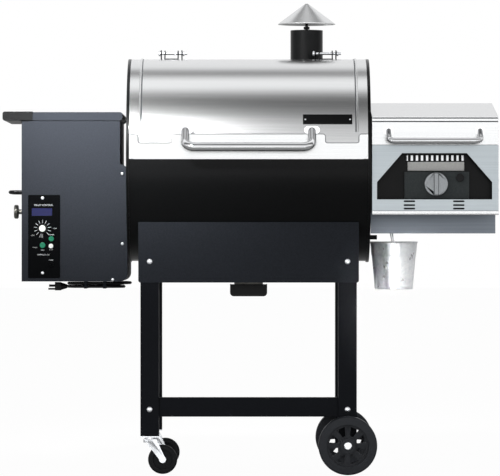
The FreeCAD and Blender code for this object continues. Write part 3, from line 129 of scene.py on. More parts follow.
def grainMaterial(name, dark, light, metal, rough, scale, stretch, bump, coat=0.0, detail=3.0,
                  level=0.5):
    # noise in object space, stretched by stretch, tints the colour, the roughness and the bump
    material, tree, shader = blankMaterial(name)
    place = addNode(tree, "ShaderNodeTexCoord")
    mapped = addNode(tree, "ShaderNodeMapping", {"Scale": stretch}, {"Vector": place.outputs["Object"]})
    noise = addNode(tree, "ShaderNodeTexNoise", {"Scale": scale, "Detail": detail, "Roughness": 0.6},
                    {"Vector": mapped.outputs["Vector"]})
    tint = addNode(tree, "ShaderNodeValToRGB", None, {"Fac": noise.outputs["Fac"]})
    setRamp(tint, [(0.3, hexLinear(dark)), (0.7, hexLinear(light))])
    tree.links.new(tint.outputs["Color"], shader.inputs["Base Color"])
    spread = addNode(tree, "ShaderNodeMapRange", {"To Min": rough[0], "To Max": rough[1]},
                     {"Value": noise.outputs["Fac"]})
    tree.links.new(spread.outputs["Result"], shader.inputs["Roughness"])
    lift = addNode(tree, "ShaderNodeBump", {"Strength": bump[0], "Distance": bump[1]},
                   {"Height": noise.outputs["Fac"]})
    tree.links.new(lift.outputs["Normal"], shader.inputs["Normal"])
    shader.inputs["Metallic"].default_value = metal
    shader.inputs["Specular IOR Level"].default_value = level
    shader.inputs["Coat Weight"].default_value = coat
    shader.inputs["Coat Roughness"].default_value = 0.25
    return material


# polyester powder coat: cured film, orange peel a few millimetres across, semi-gloss
powderBlack = grainMaterial("powderCoatBlack", "090a0b", "0f1011", 0.0, (0.26, 0.34), 260, (1, 1, 1),
                            (0.08, 0.0004), level=0.12)
powderSlate = grainMaterial("powderCoatSlate", "25282d", "2c2f35", 0.0, (0.42, 0.52), 320, (1, 1, 1),
                            (0.10, 0.0004), level=0.05)
powderFrame = grainMaterial("powderCoatFrame", "121418", "181a1f", 0.0, (0.40, 0.50), 320, (1, 1, 1),
                            (0.10, 0.0004), level=0.05)
# number 4 brushed stainless: belt scratches 0.3 mm apart, run along the barrel; drawn 1 mm apart
stainless = grainMaterial("brushedStainless", "c3c4c4", "cbcccc", 1.0, (0.20, 0.26), 900, (0.004, 1, 1),
                          (0.03, 0.0001), detail=1.0)
# the same brushed stainless made darker for the sear box body and front panel: painted shade on these upright
# faces
panelShadeStainless = grainMaterial("brushedStainlessPanelShade", "9fa6aa", "a9b0b3", 1.0, (0.30, 0.38), 900,
                               (0.004, 1, 1), (0.03, 0.0001), detail=1.0)
# the same brushed stainless made darker still for the sear skirt's apron: painted shade under the bright
# ledge
skirtShadeStainless = grainMaterial("brushedStainlessSkirtShade", "6a7077", "747a81", 1.0, (0.38, 0.46), 900,
                               (0.004, 1, 1), (0.03, 0.0001), detail=1.0)
polished = grainMaterial("polishedStainlessTube", "c4c5c6", "d0d1d2", 1.0, (0.10, 0.15), 300, (0.02, 1, 1),
                         (0.02, 0.0001))
# nickel-plated die casting, shot-blasted first: broad, soft highlights
blastedNickel = grainMaterial("blastedNickelKnob", "7c7f81", "8a8d8f", 1.0, (0.30, 0.40), 400, (1, 1, 1),
                              (0.05, 0.0002))
greyEnamel = grainMaterial("greySatinEnamel", "3d4243", "474c4d", 0.0, (0.40, 0.50), 320, (1, 1, 1),
                           (0.08, 0.0003), level=0.1)
# folded hems, ribs and bead creases: the same stainless made darker as painted shade, so each reads as a dark
# shadow line
shadeLineSteel = grainMaterial("stainlessShadeLine", "55585b", "6c7073", 1.0, (0.32, 0.42), 300, (0.02, 1, 1),
                          (0.03, 0.0001))
# pale baffle sheet behind the slotted wall: painted light, its near-white standing in for the light seen
# through the slots
slotLightBaffle = grainMaterial("paleBaffleSlotLight", "e2e4e5", "eff0f1", 1.0, (0.35, 0.45), 200, (1, 1, 1),
                             (0.03, 0.0001))
zinc = grainMaterial("brightZincPlate", "d6d9dd", "eceef0", 1.0, (0.24, 0.34), 140, (1, 1, 1), (0.03, 0.0002))
plainSteel = grainMaterial("coldRolledSteel", "5a5955", "7b7a75", 1.0, (0.38, 0.55), 60, (1, 1, 1),
                           (0.05, 0.0003))
castIron = grainMaterial("enamelledCastIron", "161616", "222221", 0.0, (0.35, 0.55), 350, (1, 1, 1),
                         (0.35, 0.0006), level=0.3)
# moulded polypropylene: fine spark-eroded texture
wheelPlastic = grainMaterial("mouldedPolypropylene", "25272b", "303338", 0.0, (0.42, 0.54), 520, (1, 1, 1),
                             (0.15, 0.0004), level=0.2)
tyrePlastic = grainMaterial("mouldedTyre", "121315", "1a1c1e", 0.0, (0.50, 0.62), 520, (1, 1, 1),
                            (0.15, 0.0004), level=0.15)
blackPlastic = grainMaterial("mouldedBlackNylon", "0a0b0c", "111213", 0.0, (0.30, 0.40), 480, (1, 1, 1),
                             (0.12, 0.0003), level=0.15)
panelPaint = grainMaterial("satinBlackPanel", "040506", "08090b", 0.0, (0.36, 0.44), 480, (1, 1, 1),
                           (0.06, 0.0002), level=0.02)
cordJacket = grainMaterial("pvcCordJacket", "0c0c0d", "141415", 0.0, (0.42, 0.52), 300, (1, 1, 1),
                           (0.08, 0.0003), level=0.2)
greenButton = grainMaterial("greenPolycarbonate", "08674a", "0e7f5a", 0.0, (0.22, 0.30), 200, (1, 1, 1),
                            (0.03, 0.0002), coat=0.2, level=0.2)
whitePlastic = grainMaterial("whiteAbs", "e6e6e3", "f2f2ef", 0.0, (0.28, 0.36), 200, (1, 1, 1),
                             (0.03, 0.0002), coat=0.3)
printInk = grainMaterial("whiteScreenInk", "b4b7ba", "c9ccce", 0.0, (0.5, 0.6), 700, (1, 1, 1),
                         (0.05, 0.0001))


def galvanised():
    # hot-dip zinc: flat crystals about 12 mm across, each with its own brightness
    material, tree, shader = blankMaterial("galvanisedSheet")
    place = addNode(tree, "ShaderNodeTexCoord")
    cells = addNode(tree, "ShaderNodeTexVoronoi", {"Scale": 150.0}, {"Vector": place.outputs["Object"]})
    tint = addNode(tree, "ShaderNodeValToRGB", None, {"Fac": cells.outputs["Color"]})
    setRamp(tint, [(0.2, hexLinear("e0e3e6")), (0.8, hexLinear("eef0f2"))])
    tree.links.new(tint.outputs["Color"], shader.inputs["Base Color"])
    spread = addNode(tree, "ShaderNodeMapRange", {"To Min": 0.27, "To Max": 0.31},
                     {"Value": cells.outputs["Color"]})
    tree.links.new(spread.outputs["Result"], shader.inputs["Roughness"])
    shader.inputs["Metallic"].default_value = 0.7
    return material


def displayGlass():
    # dark blue display window: a deep tint under a clear gloss coat, with faint scan rows
    material, tree, shader = blankMaterial("displayAcrylic")
    place = addNode(tree, "ShaderNodeTexCoord")
    rows = addNode(tree, "ShaderNodeTexWave", {"Scale": 260.0, "bands_direction": "Z"},
                   {"Vector": place.outputs["Object"]})
    tint = addNode(tree, "ShaderNodeValToRGB", None, {"Fac": rows.outputs["Fac"]})
    setRamp(tint, [(0.0, hexLinear("0e1136")), (1.0, hexLinear("171b4c"))])
    tree.links.new(tint.outputs["Color"], shader.inputs["Base Color"])
    shader.inputs["Roughness"].default_value = 0.12
    shader.inputs["Specular IOR Level"].default_value = 0.15
    shader.inputs["Coat Weight"].default_value = 0.1
    shader.inputs["Coat Roughness"].default_value = 0.1
    return material


zincSpangle = galvanised()
displayBlue = displayGlass()

finishes = {
    powderBlack: ["barrel_body", "end_caps", "hinge_brackets", "chimney_pipe", "lid_fittings",
                  "sear_firewall",
                  "side_handle", "drain_spout", "ash_cup"],
    powderSlate: ["hopper_housing", "hopper_lid", "aprons"],
    powderFrame: ["legs", "frame_rails"],
    stainless: ["lid_shell", "lid_skirt", "chimney_cap", "sear_lid"],
    panelShadeStainless: ["sear_body", "sear_front_panel"],
    skirtShadeStainless: ["sear_skirt"],
    polished: ["lid_handle", "sear_handle"],
    blastedNickel: ["gas_knob"],
    greyEnamel: ["gas_panel"],
    zinc: ["fasteners", "wheel_axle", "caster_plates", "caster_fork_front", "caster_fork_rear", "gas_inlet",
           "drive_motors", "blower_wheel", "bucket_bail"],
    plainSteel: ["drip_tray", "fire_pot", "auger_tube", "auger_screw", "pellet_bin", "sear_burner",
                 "ash_gate"],
    castIron: ["grates", "sear_grate"],
    wheelPlastic: ["wheel_front", "wheel_rear"],
    tyrePlastic: ["caster_wheel_front", "caster_wheel_rear"],
    blackPlastic: ["hopper_lid_grip", "control_dial", "spark_button", "cord_gland"],
    panelPaint: ["control_panel"],
    cordJacket: ["cord_lead", "cord_hank", "cord_plug"],
    greenButton: ["button_power", "button_feed"],
    whitePlastic: ["button_mode"],
    zincSpangle: ["bucket"],
    displayBlue: ["display_window"],
}
# each node, by the record's own name, gets its finish
for material, names in finishes.items():
    for name in names:
        nodes[name].data.materials.clear()
        nodes[name].data.materials.append(material)
print("finishes set")


# studio
def buildStudio():
    # pale floor, and a world whose brightness is a function of the angle up and over in Y and Z
    bpy.ops.mesh.primitive_plane_add(size=80, location=(0, 0, 0))
    floor = bpy.context.object
    floor.name = "studioFloor"
    floor.data.transform(floor.matrix_world)
    floor.matrix_world.identity()
    material, tree, shader = blankMaterial("studioFloorPaper")
    shader.inputs["Base Color"].default_value = hexLinear("f4f4f4")
    shader.inputs["Roughness"].default_value = 0.9
    path = addNode(tree, "ShaderNodeLightPath")
    glow = addNode(tree, "ShaderNodeEmission", {"Strength": 1.0})
    share = addNode(tree, "ShaderNodeMath", {"operation": "MULTIPLY", 1: 0.97},
                    {0: path.outputs["Is Camera Ray"]})
    mix = addNode(tree, "ShaderNodeMixShader", None, {0: share.outputs[0], 1: shader.outputs[0],
                                                      2: glow.outputs[0]})
    tree.links.new(mix.outputs[0], tree.nodes["Material Output"].inputs["Surface"])
    floor.data.materials.append(material)
    world = bpy.data.worlds.new("studioWorld")
    scene.world = world
    world.use_nodes = True
    tree = world.node_tree
    tree.nodes.clear()
    place = addNode(tree, "ShaderNodeTexCoord")
    parts = addNode(tree, "ShaderNodeSeparateXYZ", None, {"Vector": place.outputs["Generated"]})
    front = addNode(tree, "ShaderNodeMath", {"operation": "MULTIPLY", 1: -1.0}, {0: parts.outputs["Y"]})
    angle = addNode(tree, "ShaderNodeMath", {"operation": "ARCTAN2"},
                    {0: parts.outputs["Z"], 1: front.outputs[0]})
    turn = addNode(tree, "ShaderNodeMapRange", {"From Min": -math.pi, "From Max": math.pi},
                   {"Value": angle.outputs[0]})
    ramp = addNode(tree, "ShaderNodeValToRGB", None, {"Fac": turn.outputs["Result"]})
    sky = [(0.0, 0.7), (0.485, 0.8), (0.497, 2.5), (0.512, 2.5), (0.535, 1.15), (0.60, 0.95), (0.65, 0.36),
           (0.694, 0.12), (0.72, 0.4), (0.75, 1.55), (0.79, 1.5), (0.815, 0.3),
           (0.832, 0.3), (0.86, 1.3), (1.0, 0.9)]
    setRamp(ramp, [(place, (v, v, v * 1.01, 1)) for place, v in sky])
    mirror = addNode(tree, "ShaderNodeBackground", {"Strength": 1.0}, {"Color": ramp.outputs["Color"]})
    plain = addNode(tree, "ShaderNodeBackground", {"Strength": 0.42, "Color": (1, 1, 1, 1)})
    white = addNode(tree, "ShaderNodeBackground", {"Strength": 1.0, "Color": (1, 1, 1, 1)})
    path = addNode(tree, "ShaderNodeLightPath")
    light = addNode(tree, "ShaderNodeMixShader", None, {0: path.outputs["Is Glossy Ray"], 1: plain.outputs[0],
                                                        2: mirror.outputs[0]})
    mix = addNode(tree, "ShaderNodeMixShader", None, {0: path.outputs["Is Camera Ray"], 1: light.outputs[0],
                                                      2: white.outputs[0]})
    addNode(tree, "ShaderNodeOutputWorld", None, {"Surface": mix.outputs[0]})


def addLamp(name, place, target, size, power, spread=180):
    data = bpy.data.lights.new(name, "AREA")
    data.shape = "RECTANGLE"
    data.size, data.size_y = size
    data.energy = power
    data.spread = math.radians(spread)
    lamp = bpy.data.objects.new(name, data)
    lamp.location = place
    lamp.rotation_euler = (Vector(target) - Vector(place)).to_track_quat("-Z", "Y").to_euler()
    scene.collection.objects.link(lamp)


buildStudio()
addLamp("keyLamp", (-2.2, -3.2, 3.0), (0, 0, 0.7), (2.4, 1.6), 1.5)
addLamp("hopperLamp", (-0.9, -1.9, 2.1), (-0.46, -0.1, 1.12), (0.5, 0.25), 8.5, spread=27)
addLamp("stripLamp", (-2.2, -2.9, 1.3), (0, 0, 0.9), (0.35, 1.5), 6)
addLamp("lowLamp", (0, -2.9, 0.12), (0, -0.2, 0.75), (2.6, 0.25), 5)
addLamp("pailLamp", (0.40, -2.0, 0.12), (0.395, -0.05, 0.46), (0.2, 0.15), 0.26, spread=8)
print("studio built")


# new pieces: surfaces worked out with numpy
def gridMesh(name, points, material, body, closedU=False, closedV=False, capU=False):
    # quads between neighbours of a (u, v) grid of points; closed directions wrap round
    rows, cols = points.shape[:2]
    index = np.arange(rows * cols).reshape(rows, cols)
    u = np.arange(rows if closedU else rows - 1)
    v = np.arange(cols if closedV else cols - 1)
    a = index[np.ix_(u, v)]
    b = index[np.ix_((u + 1) % rows, v)]
    c = index[np.ix_((u + 1) % rows, (v + 1) % cols)]
    d = index[np.ix_(u, (v + 1) % cols)]
    faces = np.stack([a, b, c, d], -1).reshape(-1, 4).tolist()
    if capU:
        faces.append(index[0][::-1].tolist())
        faces.append(index[-1].tolist())
    mesh = bpy.data.meshes.new(name)
    mesh.from_pydata(points.reshape(-1, 3).tolist(), [], faces)
    return finishMesh(name, mesh, material, body)


def finishMesh(name, mesh, material, body, smooth=40):
    work = bmesh.new()
    work.from_mesh(mesh)
    bmesh.ops.remove_doubles(work, verts=work.verts, dist=1e-6)
    bmesh.ops.recalc_face_normals(work, faces=work.faces)
    work.to_mesh(mesh)
    work.free()
    piece = bpy.data.objects.new(name, mesh)
    scene.collection.objects.link(piece)
    mesh.materials.append(material)
    mesh.shade_smooth()
    mesh.set_sharp_from_angle(angle=math.radians(smooth))
    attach(piece, body)
    return piece


def joined(name, pieces, body):
    # several meshes of one look become one piece
    mesh = bpy.data.meshes.new(name)
    work = bmesh.new()
    for piece in pieces:
        work.from_mesh(piece.data)
    work.to_mesh(mesh)
    work.free()
    for material in pieces[0].data.materials:
        mesh.materials.append(material)
    for piece in pieces:
        bpy.data.objects.remove(piece)
    whole = bpy.data.objects.new(name, mesh)
    scene.collection.objects.link(whole)
    mesh.shade_smooth()
    mesh.set_sharp_from_angle(angle=math.radians(40))
    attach(whole, body)
    return whole


def lathe(name, profile, centre, axis, material, body, steps=64):
    # (radius, height) profile turned about an axis through centre
    profile = np.array(profile, float)
    axis = Vector(axis).normalized()
    side = axis.orthogonal().normalized()
    other = axis.cross(side)
    turn = np.linspace(0, 2 * math.pi, steps, endpoint=False)[:, None, None]
    radius = profile[None, :, 0:1]
    height = profile[None, :, 1:2]
    points = (np.array(centre) + np.array(axis) * height + np.array(side) * radius * np.cos(turn)
              + np.array(other) * radius * np.sin(turn))
    return gridMesh(name, points, material, body, closedU=True)


def at(x, y, z):
    # millimetres from the barrel's middle in X and Y, and from the floor in Z
    return (barrelMid.x + x * mm, barrelMid.y + y * mm, z * mm)


def sweep(name, path, radius, material, body, sides=12, loop=False):
    # round tube of that radius along a list of points, its frame carried on from point to point
    line = np.array(path, float)
    ahead = np.gradient(line, axis=0)
    ahead /= np.linalg.norm(ahead, axis=1)[:, None]
    side = np.array(Vector(ahead[0]).orthogonal().normalized())
    rings = []
    turn = np.linspace(0, 2 * math.pi, sides, endpoint=False)
    for here, way in zip(line, ahead):
        side = side - way * side.dot(way)
        side /= np.linalg.norm(side)
        other = np.cross(way, side)
        rings.append(here + radius * (np.cos(turn)[:, None] * side + np.sin(turn)[:, None] * other))
    return gridMesh(name, np.array(rings), material, body, closedU=loop, closedV=True, capU=not loop)


def roundedLine(corners, radius, steps=6):
    # corner points joined by straight runs, each corner rounded with a quadratic arc
    line = [Vector(corners[0])]
    for before, corner, after in zip(corners, corners[1:], corners[2:]):
        corner = Vector(corner)
        start = corner + (Vector(before) - corner).normalized() * radius
        end = corner + (Vector(after) - corner).normalized() * radius
        for t in np.linspace(0, 1, steps + 1):
            line.append(start * (1 - t) ** 2 + corner * 2 * t * (1 - t) + end * t ** 2)
    line.append(Vector(corners[-1]))
    return [tuple(p) for p in line]


def solidsOf(name):
    # the node's separate solids, each as (lowest corner, highest corner, its vertex numbers), merged
    work = bmesh.new()
    work.from_mesh(nodes[name].data)
    bmesh.ops.remove_doubles(work, verts=work.verts, dist=2e-5)
    work.verts.ensure_lookup_table()
    seen = set()
    found = []
    for vert in work.verts:
        if vert.index in seen:
            continue
        group = {vert.index}
        edge = [vert]
        while edge:
            for link in edge.pop().link_edges:
                for other in link.verts:
                    if other.index not in group:
                        group.add(other.index)
                        edge.append(other)
        seen |= group
        spots = np.array([work.verts[i].co for i in group])
        found.append((spots.min(0), spots.max(0), group))
    return work, found


def foldedCopy(name, width, choose=None, material=None, suffix="Folded"):
    # a merged copy of the CAD node, or of some of its solids, with its edges rounded to catch the light
    source = nodes[name]
    work, solids = solidsOf(name)
    if choose:
        drop = set()
        for low, high, group in solids:
            if not choose(low, high):
                drop |= group
        bmesh.ops.delete(work, geom=[v for v in work.verts if v.index in drop], context="VERTS")
    bmesh.ops.dissolve_limit(work, angle_limit=math.radians(1.0), verts=work.verts, edges=work.edges)
    mesh = bpy.data.meshes.new(name + suffix)
    work.to_mesh(mesh)
    work.free()
    mesh.materials.append(material or source.data.materials[0])
    piece = bpy.data.objects.new(name + suffix, mesh)
    scene.collection.objects.link(piece)
    if width:
        bevel = piece.modifiers.new("fold", "BEVEL")
        bevel.width = width * mm
        bevel.segments = 3
        bevel.limit_method = "ANGLE"
        bevel.angle_limit = math.radians(50)
        bevel.harden_normals = True
    mesh.shade_smooth()
    mesh.set_sharp_from_angle(angle=math.radians(40))
    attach(piece, source["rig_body"])
    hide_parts(name)
    return piece


# sheet metal and tube whose edges are rolled or cut with a visible radius, in millimetres
edgeSet = {"hopper_housing": 1.6, "hopper_lid": 1.2, "hopper_lid_grip": 2.0, "legs": 2.2, "aprons": 0.9,
           "frame_rails": 2.0, "sear_body": 0.9, "sear_front_panel": 0.7, "sear_lid": 0.6,
           "control_panel": 0.6, "lid_skirt": 0.4, "gas_panel": 0.5, "wheel_front": 0.9, "wheel_rear": 0.9,
           "caster_wheel_front": 1.2, "caster_wheel_rear": 1.2, "caster_fork_front": 0.5,
           "caster_fork_rear": 0.5, "display_window": 0.4, "gas_knob": 0.8, "spark_button": 0.8}
for name, width in edgeSet.items():
    foldedCopy(name, width)
print("folded edges done")

# nodes whose solids have different finishes; the sear skirt's apron gets a darker stainless as painted shade
foldedCopy("hinge_brackets", 0.4, lambda low, high: high[2] - low[2] < 16 * mm, zinc, "Pins")
foldedCopy("hinge_brackets", 0.4, lambda low, high: high[2] - low[2] >= 16 * mm, powderBlack, "Ears")
foldedCopy("sear_firewall", 0.3, lambda low, high: high[2] - low[2] < 30 * mm, whitePlastic, "Label")
foldedCopy("sear_firewall", 0.3, lambda low, high: high[2] - low[2] >= 30 * mm, powderBlack, "Wall")
foldedCopy("sear_skirt", 0.5, lambda low, high: high[2] - low[2] < 20 * mm, stainless, "Ledge")
foldedCopy("sear_skirt", 0.5, lambda low, high: high[2] - low[2] >= 20 * mm, skirtShadeStainless, "Apron")
print("mixed nodes done")

# lid: raised beads, folded hem round the notches, name plate rivets
lidSet = {"outer": 268.5, "bead": 282.0, "beadRadius": 3.0, "low": 15, "high": 94, "hemZ": 884.0,
          "faceY": -270.6, "notchIn": 199.0, "notchOut": 286.0, "notchDepth": 23.0, "edge": 309.0,
          "axisZ": 820, "grooveGap": 1.2, "grooveRadius": 1.1, "hemRadius": 0.9, "hemCorner": 7}


def lidArc(x):
    # points on the lid's outer radius, over the angle up from the front
    angle = np.radians(np.linspace(lidSet["low"], lidSet["high"], 60))
    return [at(x, -lidSet["outer"] * math.cos(a), lidSet["axisZ"] + lidSet["outer"] * math.sin(a))
            for a in angle]


def lidBeads():
    # two half-sunk round beads that follow the lid's curve
    made = [sweep("bead", lidArc(side * lidSet["bead"]), lidSet["beadRadius"] * mm, stainless, "main_lid", 16)
            for side in (-1, 1)]
    return joined("lidBeads", made, "main_lid")


def beadGrooves():
    # the crease at the foot of each bead, on the side away from the lid's end: a fine dark line, painted
    # shade in darker stainless
    x = lidSet["bead"] - lidSet["beadRadius"] - lidSet["grooveGap"]
    made = [sweep("groove", lidArc(side * x), lidSet["grooveRadius"] * mm, shadeLineSteel, "main_lid", 10)
            for side in (-1, 1)]
    return joined("beadGrooves", made, "main_lid")


def lidHem():
    # a fine rolled hem along the skirt's top edge, dipping round the two notches; its darker stainless is a
    # painted shadow line
    top = lidSet["hemZ"]
    low = top - lidSet["notchDepth"]
    xs = [-lidSet["edge"], -lidSet["notchOut"], -lidSet["notchIn"], lidSet["notchIn"], lidSet["notchOut"],
          lidSet["edge"]]
    y = lidSet["faceY"]
    corners = [at(xs[0], y, top), at(xs[1], y, top), at(xs[1], y, low), at(xs[2], y, low), at(xs[2], y, top),
               at(xs[3], y, top), at(xs[3], y, low), at(xs[4], y, low), at(xs[4], y, top), at(xs[5], y, top)]
    line = roundedLine(corners, lidSet["hemCorner"] * mm)
    return sweep("lidHem", line, lidSet["hemRadius"] * mm, shadeLineSteel, "main_lid", 8)


rivetSet = {"x": (147, 263), "tilt": 22.3, "reach": 270, "radius": 2.4, "height": 1.3}


def plateRivets():
    # one dome rivet at each end of the plain name plate
    p = rivetSet
    made = []
    tilt = math.radians(p["tilt"])
    out = (0, -math.cos(tilt), math.sin(tilt))
    profile = [(p["radius"] * mm * math.cos(a), p["height"] * mm * math.sin(a))
               for a in np.linspace(0, math.pi / 2, 6)]
    for x in p["x"]:
        centre = at(x, -p["reach"] * math.cos(tilt), lidSet["axisZ"] + p["reach"] * math.sin(tilt))
        made.append(lathe("rivet", profile, centre, out, zinc, "main_lid", 16))
    return joined("plateRivets", made, "main_lid")


lidBeads()
beadGrooves()
lidHem()
plateRivets()
print("lid detail done")

# sear box lid: two pressed ribs under the top fold
ribSet = {"x": (321.0, 647.0), "front": -250.0, "ribs": (926.0, 917.0), "radius": 1.7}


def searRibs():
    # two round ribs pressed along the lid's front face; their darker stainless is painted shade
    made = []
    for z in ribSet["ribs"]:
        line = [at(x, ribSet["front"], z) for x in np.linspace(*ribSet["x"], 20)]
        made.append(sweep("rib", line, ribSet["radius"] * mm, shadeLineSteel, "box_lid", 12))
    return joined("searRibs", made, "box_lid")


baffleSet = {"x": (412, 563), "z": (812, 849), "y": -203.6, "thick": 0.8, "wave": 0.25, "ribs": 12}


def searBaffle():
    # pale baffle behind the slotted wall, painted light seen through the slots: y waves with x, one shallow
    # rib in each slot
    b = baffleSet
    left, right = b["x"]
    low, high = b["z"]
    x = np.linspace(left, right, 200)
    wave = b["wave"] * np.cos((x - left) / (right - left) * 2 * math.pi * b["ribs"])
    rows = []
    for z, back in ((low, 0), (high, 0), (high, 1), (low, 1)):
        rows.append([at(u, b["y"] + back * b["thick"] + w * (1 - back), z) for u, w in zip(x, wave)])
    return gridMesh("searBaffle", np.array(rows), slotLightBaffle, "grill", closedU=True)


searRibs()
searBaffle()

# bolts: zinc dome heads with a hexagon socket
boltSet = {"sides": 36, "rings": 8, "socket": 0.42, "depth": 0.55}


def boltHead(low, high, outward):
    # dome of revolution; inside the socket radius, which is a hexagon's, the surface drops to a floor
    axis = int(np.argmax(np.abs(outward)))
    flat = [i for i in range(3) if i != axis]
    centre = (low + high) / 2
    radius = max(high[flat[0]] - low[flat[0]], high[flat[1]] - low[flat[1]]) / 2
    height = min(high[axis] - low[axis], 0.5 * radius)
    foot = (high if outward[axis] > 0 else low)[axis] - outward[axis] * height
    turn = np.linspace(0, 2 * math.pi, boltSet["sides"], endpoint=False)
    sixth = np.mod(turn, math.pi / 3) - math.pi / 6
    hexagon = boltSet["socket"] * radius * math.cos(math.pi / 6) / np.cos(sixth)
    rings = []
    for share in np.linspace(0, 1, boltSet["rings"]):
        reach = radius + (hexagon - radius) * share
        rings.append((reach, height * np.sqrt(np.maximum(1 - (reach / radius) ** 2 * 0.86, 0.02))))
    rings.insert(0, (np.full_like(turn, radius), np.zeros_like(turn)))
    rings.append((hexagon * 0.96, np.full_like(turn, height * (1 - boltSet["depth"]))))
    rings.append((hexagon * 0.0, np.full_like(turn, height * (1 - boltSet["depth"]))))
    points = np.zeros((len(rings), boltSet["sides"], 3))
    for i, (reach, lift) in enumerate(rings):
        points[i, :, flat[0]] = centre[flat[0]] + reach * np.cos(turn)
        points[i, :, flat[1]] = centre[flat[1]] + reach * np.sin(turn)
        points[i, :, axis] = foot + outward[axis] * lift
    return gridMesh("bolt", points, zinc, "grill", closedV=True)


def allBolts():
    work, solids = solidsOf("fasteners")
    work.free()
    made = []
    for low, high, group in solids:
        spot = (low + high) / 2
        if spot[0] > barrelHigh.x + 0.3:
            outward = (1, 0, 0)
        else:
            outward = (0, -1 if spot[1] < barrelMid.y else 1, 0)
        made.append(boltHead(low, high, np.array(outward)))
    bolts = joined("frameBolts", made, "grill")
    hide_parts("fasteners")


allBolts()
print("bolts done")

# control dial: fluted skirt, white cap, printed scale
dialSet = {"x": -540.0, "z": 640.0, "face": -132.0, "radius": 12.6, "cap": 8.6, "flutes": 18}


def fluted(name, centre, outward, radius, height, flutes, depth, material, body, edge=1.0, steps=216):
    # knob of revolution whose radius is cut by cosine flutes, its front edge rounded over
    outward = Vector(outward)
    side = outward.orthogonal().normalized()
    other = outward.cross(side)
    turn = np.linspace(0, 2 * math.pi, steps, endpoint=False)
    wave = depth * (0.5 - 0.5 * np.cos(flutes * turn)) ** 0.7
    levels = [(0.0, 0.0), (height - edge, 0.0)]
    levels += [(height - edge + edge * math.sin(a), edge * (1 - math.cos(a)))
               for a in np.linspace(0.3, math.pi / 2, 5)]
    rows = []
    for lift, inset in levels:
        rows.append((radius - wave - inset, lift))
    rows.append(((radius - depth - edge) * 0.9 + wave * 0, height))
    rows.append((wave * 0, height))
    side, other, outward = np.array(side), np.array(other), np.array(outward)
    points = np.array([[np.array(centre) + (side * r * math.cos(t) + other * r * math.sin(t)
                        + outward * lift) * mm for r, t in zip(reach, turn)] for reach, lift in rows])
    return gridMesh(name, points, material, body, closedV=True)


def dialKnob():
    d = dialSet
    skirt = fluted("dialSkirt", at(d["x"], d["face"] - 0.8, d["z"]), (0, -1, 0), d["radius"], 8.2,
                   d["flutes"], 0.9, blackPlastic, "dial")
    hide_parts("control_dial")
    profile = [(d["cap"] * mm, 0), (d["cap"] * mm, 3.4 * mm)]
    profile += [((d["cap"] - 1.4 + 1.4 * math.cos(a)) * mm, (3.4 + 1.4 * math.sin(a)) * mm)
                for a in np.linspace(0.2, math.pi / 2, 5)]
    profile.append((0, 5.0 * mm))
    cap = lathe("dialCap", profile, at(d["x"], d["face"] - 9, d["z"]), (0, -1, 0), whitePlastic, "dial")
    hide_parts("control_dial")


def flatBar(centre, along, length, wide, thick):
    # printed bar on the panel: a bevelled slab, its top corners pulled in
    along = np.array(along) / np.linalg.norm(along)
    across = np.array([along[2], 0, -along[0]])
    rows = []
    for lift, share in ((0, 1.0), (-thick * 0.6, 1.0), (-thick, 0.7)):
        rows.append([np.array(centre) + along * length / 2 * u + across * wide / 2 * v * share
                     + np.array([0, lift, 0]) for u, v in ((-1, -1), (1, -1), (1, 1), (-1, 1))])
    rows.append([np.array(centre) + np.array([0, -thick, 0])] * 4)
    return gridMesh("print", np.array(rows), printInk, "grill", closedV=True)


def printedScale():
    # eleven strokes round the dial, from lower left round to the right, and three below it
    made = []
    d = dialSet
    # angle in degrees, distance from the dial's middle, length, width
    strokes = [(225 - 27 * i, 18.6, 8, 1.3) for i in range(11)]
    strokes += [(252 + 9 * i, 19.5, 10, 1.1) for i in range(3)]
    for degrees, reach, length, wide in strokes:
        angle = math.radians(degrees)
        way = np.array([math.cos(angle), 0, math.sin(angle)])
        centre = np.array(at(d["x"], d["face"], d["z"])) + way * reach * mm
        made.append(flatBar(centre, way, length * mm, wide * mm, 0.12 * mm))
    return joined("printedScale", made, "grill")


def printedWord(word, x, z, size):
    # a plain word set as text, turned to a mesh on the panel's face
    curve = bpy.data.curves.new(word, "FONT")
    curve.body = word
    curve.size = size * mm
    curve.align_x = "CENTER"
    curve.align_y = "CENTER"
    curve.extrude = 0.05 * mm
    holder = bpy.data.objects.new(word, curve)
    scene.collection.objects.link(holder)
    mesh = bpy.data.meshes.new_from_object(holder)
    bpy.data.objects.remove(holder)
    count = len(mesh.vertices)
    spots = np.zeros(count * 3)
    mesh.vertices.foreach_get("co", spots)
    spots = spots.reshape(-1, 3)
    base = np.array(at(x, dialSet["face"] - 0.08, z))
    placed = np.stack([base[0] + spots[:, 0], base[1] - spots[:, 2], base[2] + spots[:, 1]], -1)
    mesh.vertices.foreach_set("co", placed.ravel())
    mesh.materials.clear()
    mesh.materials.append(printInk)
    piece = bpy.data.objects.new(word, mesh)
    scene.collection.objects.link(piece)
    return piece


def panelWords():
    # plain control words: what each control does
    words = [("POWER", -517, 623.5, 4.2), ("FEED", -540, 583, 4.2), ("F / C", -518, 584, 4.2),
             ("PELLET CONTROL", -537, 701, 6.0), ("SMOKE", -560, 590, 4.0), ("PROBE", -518, 557, 4.0),
             ("TEMPERATURE", -538, 571, 5.0), ("HIGH", -508, 640, 4.0), ("LOW", -566, 622, 4.0)]
    return joined("panelWords", [printedWord(*word) for word in words], "grill")


dialKnob()
printedScale()
panelWords()
print("control panel done")

# grease bucket: drawn steel, rolled rim, shallow band under it
bucketSet = {"x": 385.0, "top": 606.0, "foot": 479.0, "topRadius": 64.5, "footRadius": 50.5, "wall": 0.8}


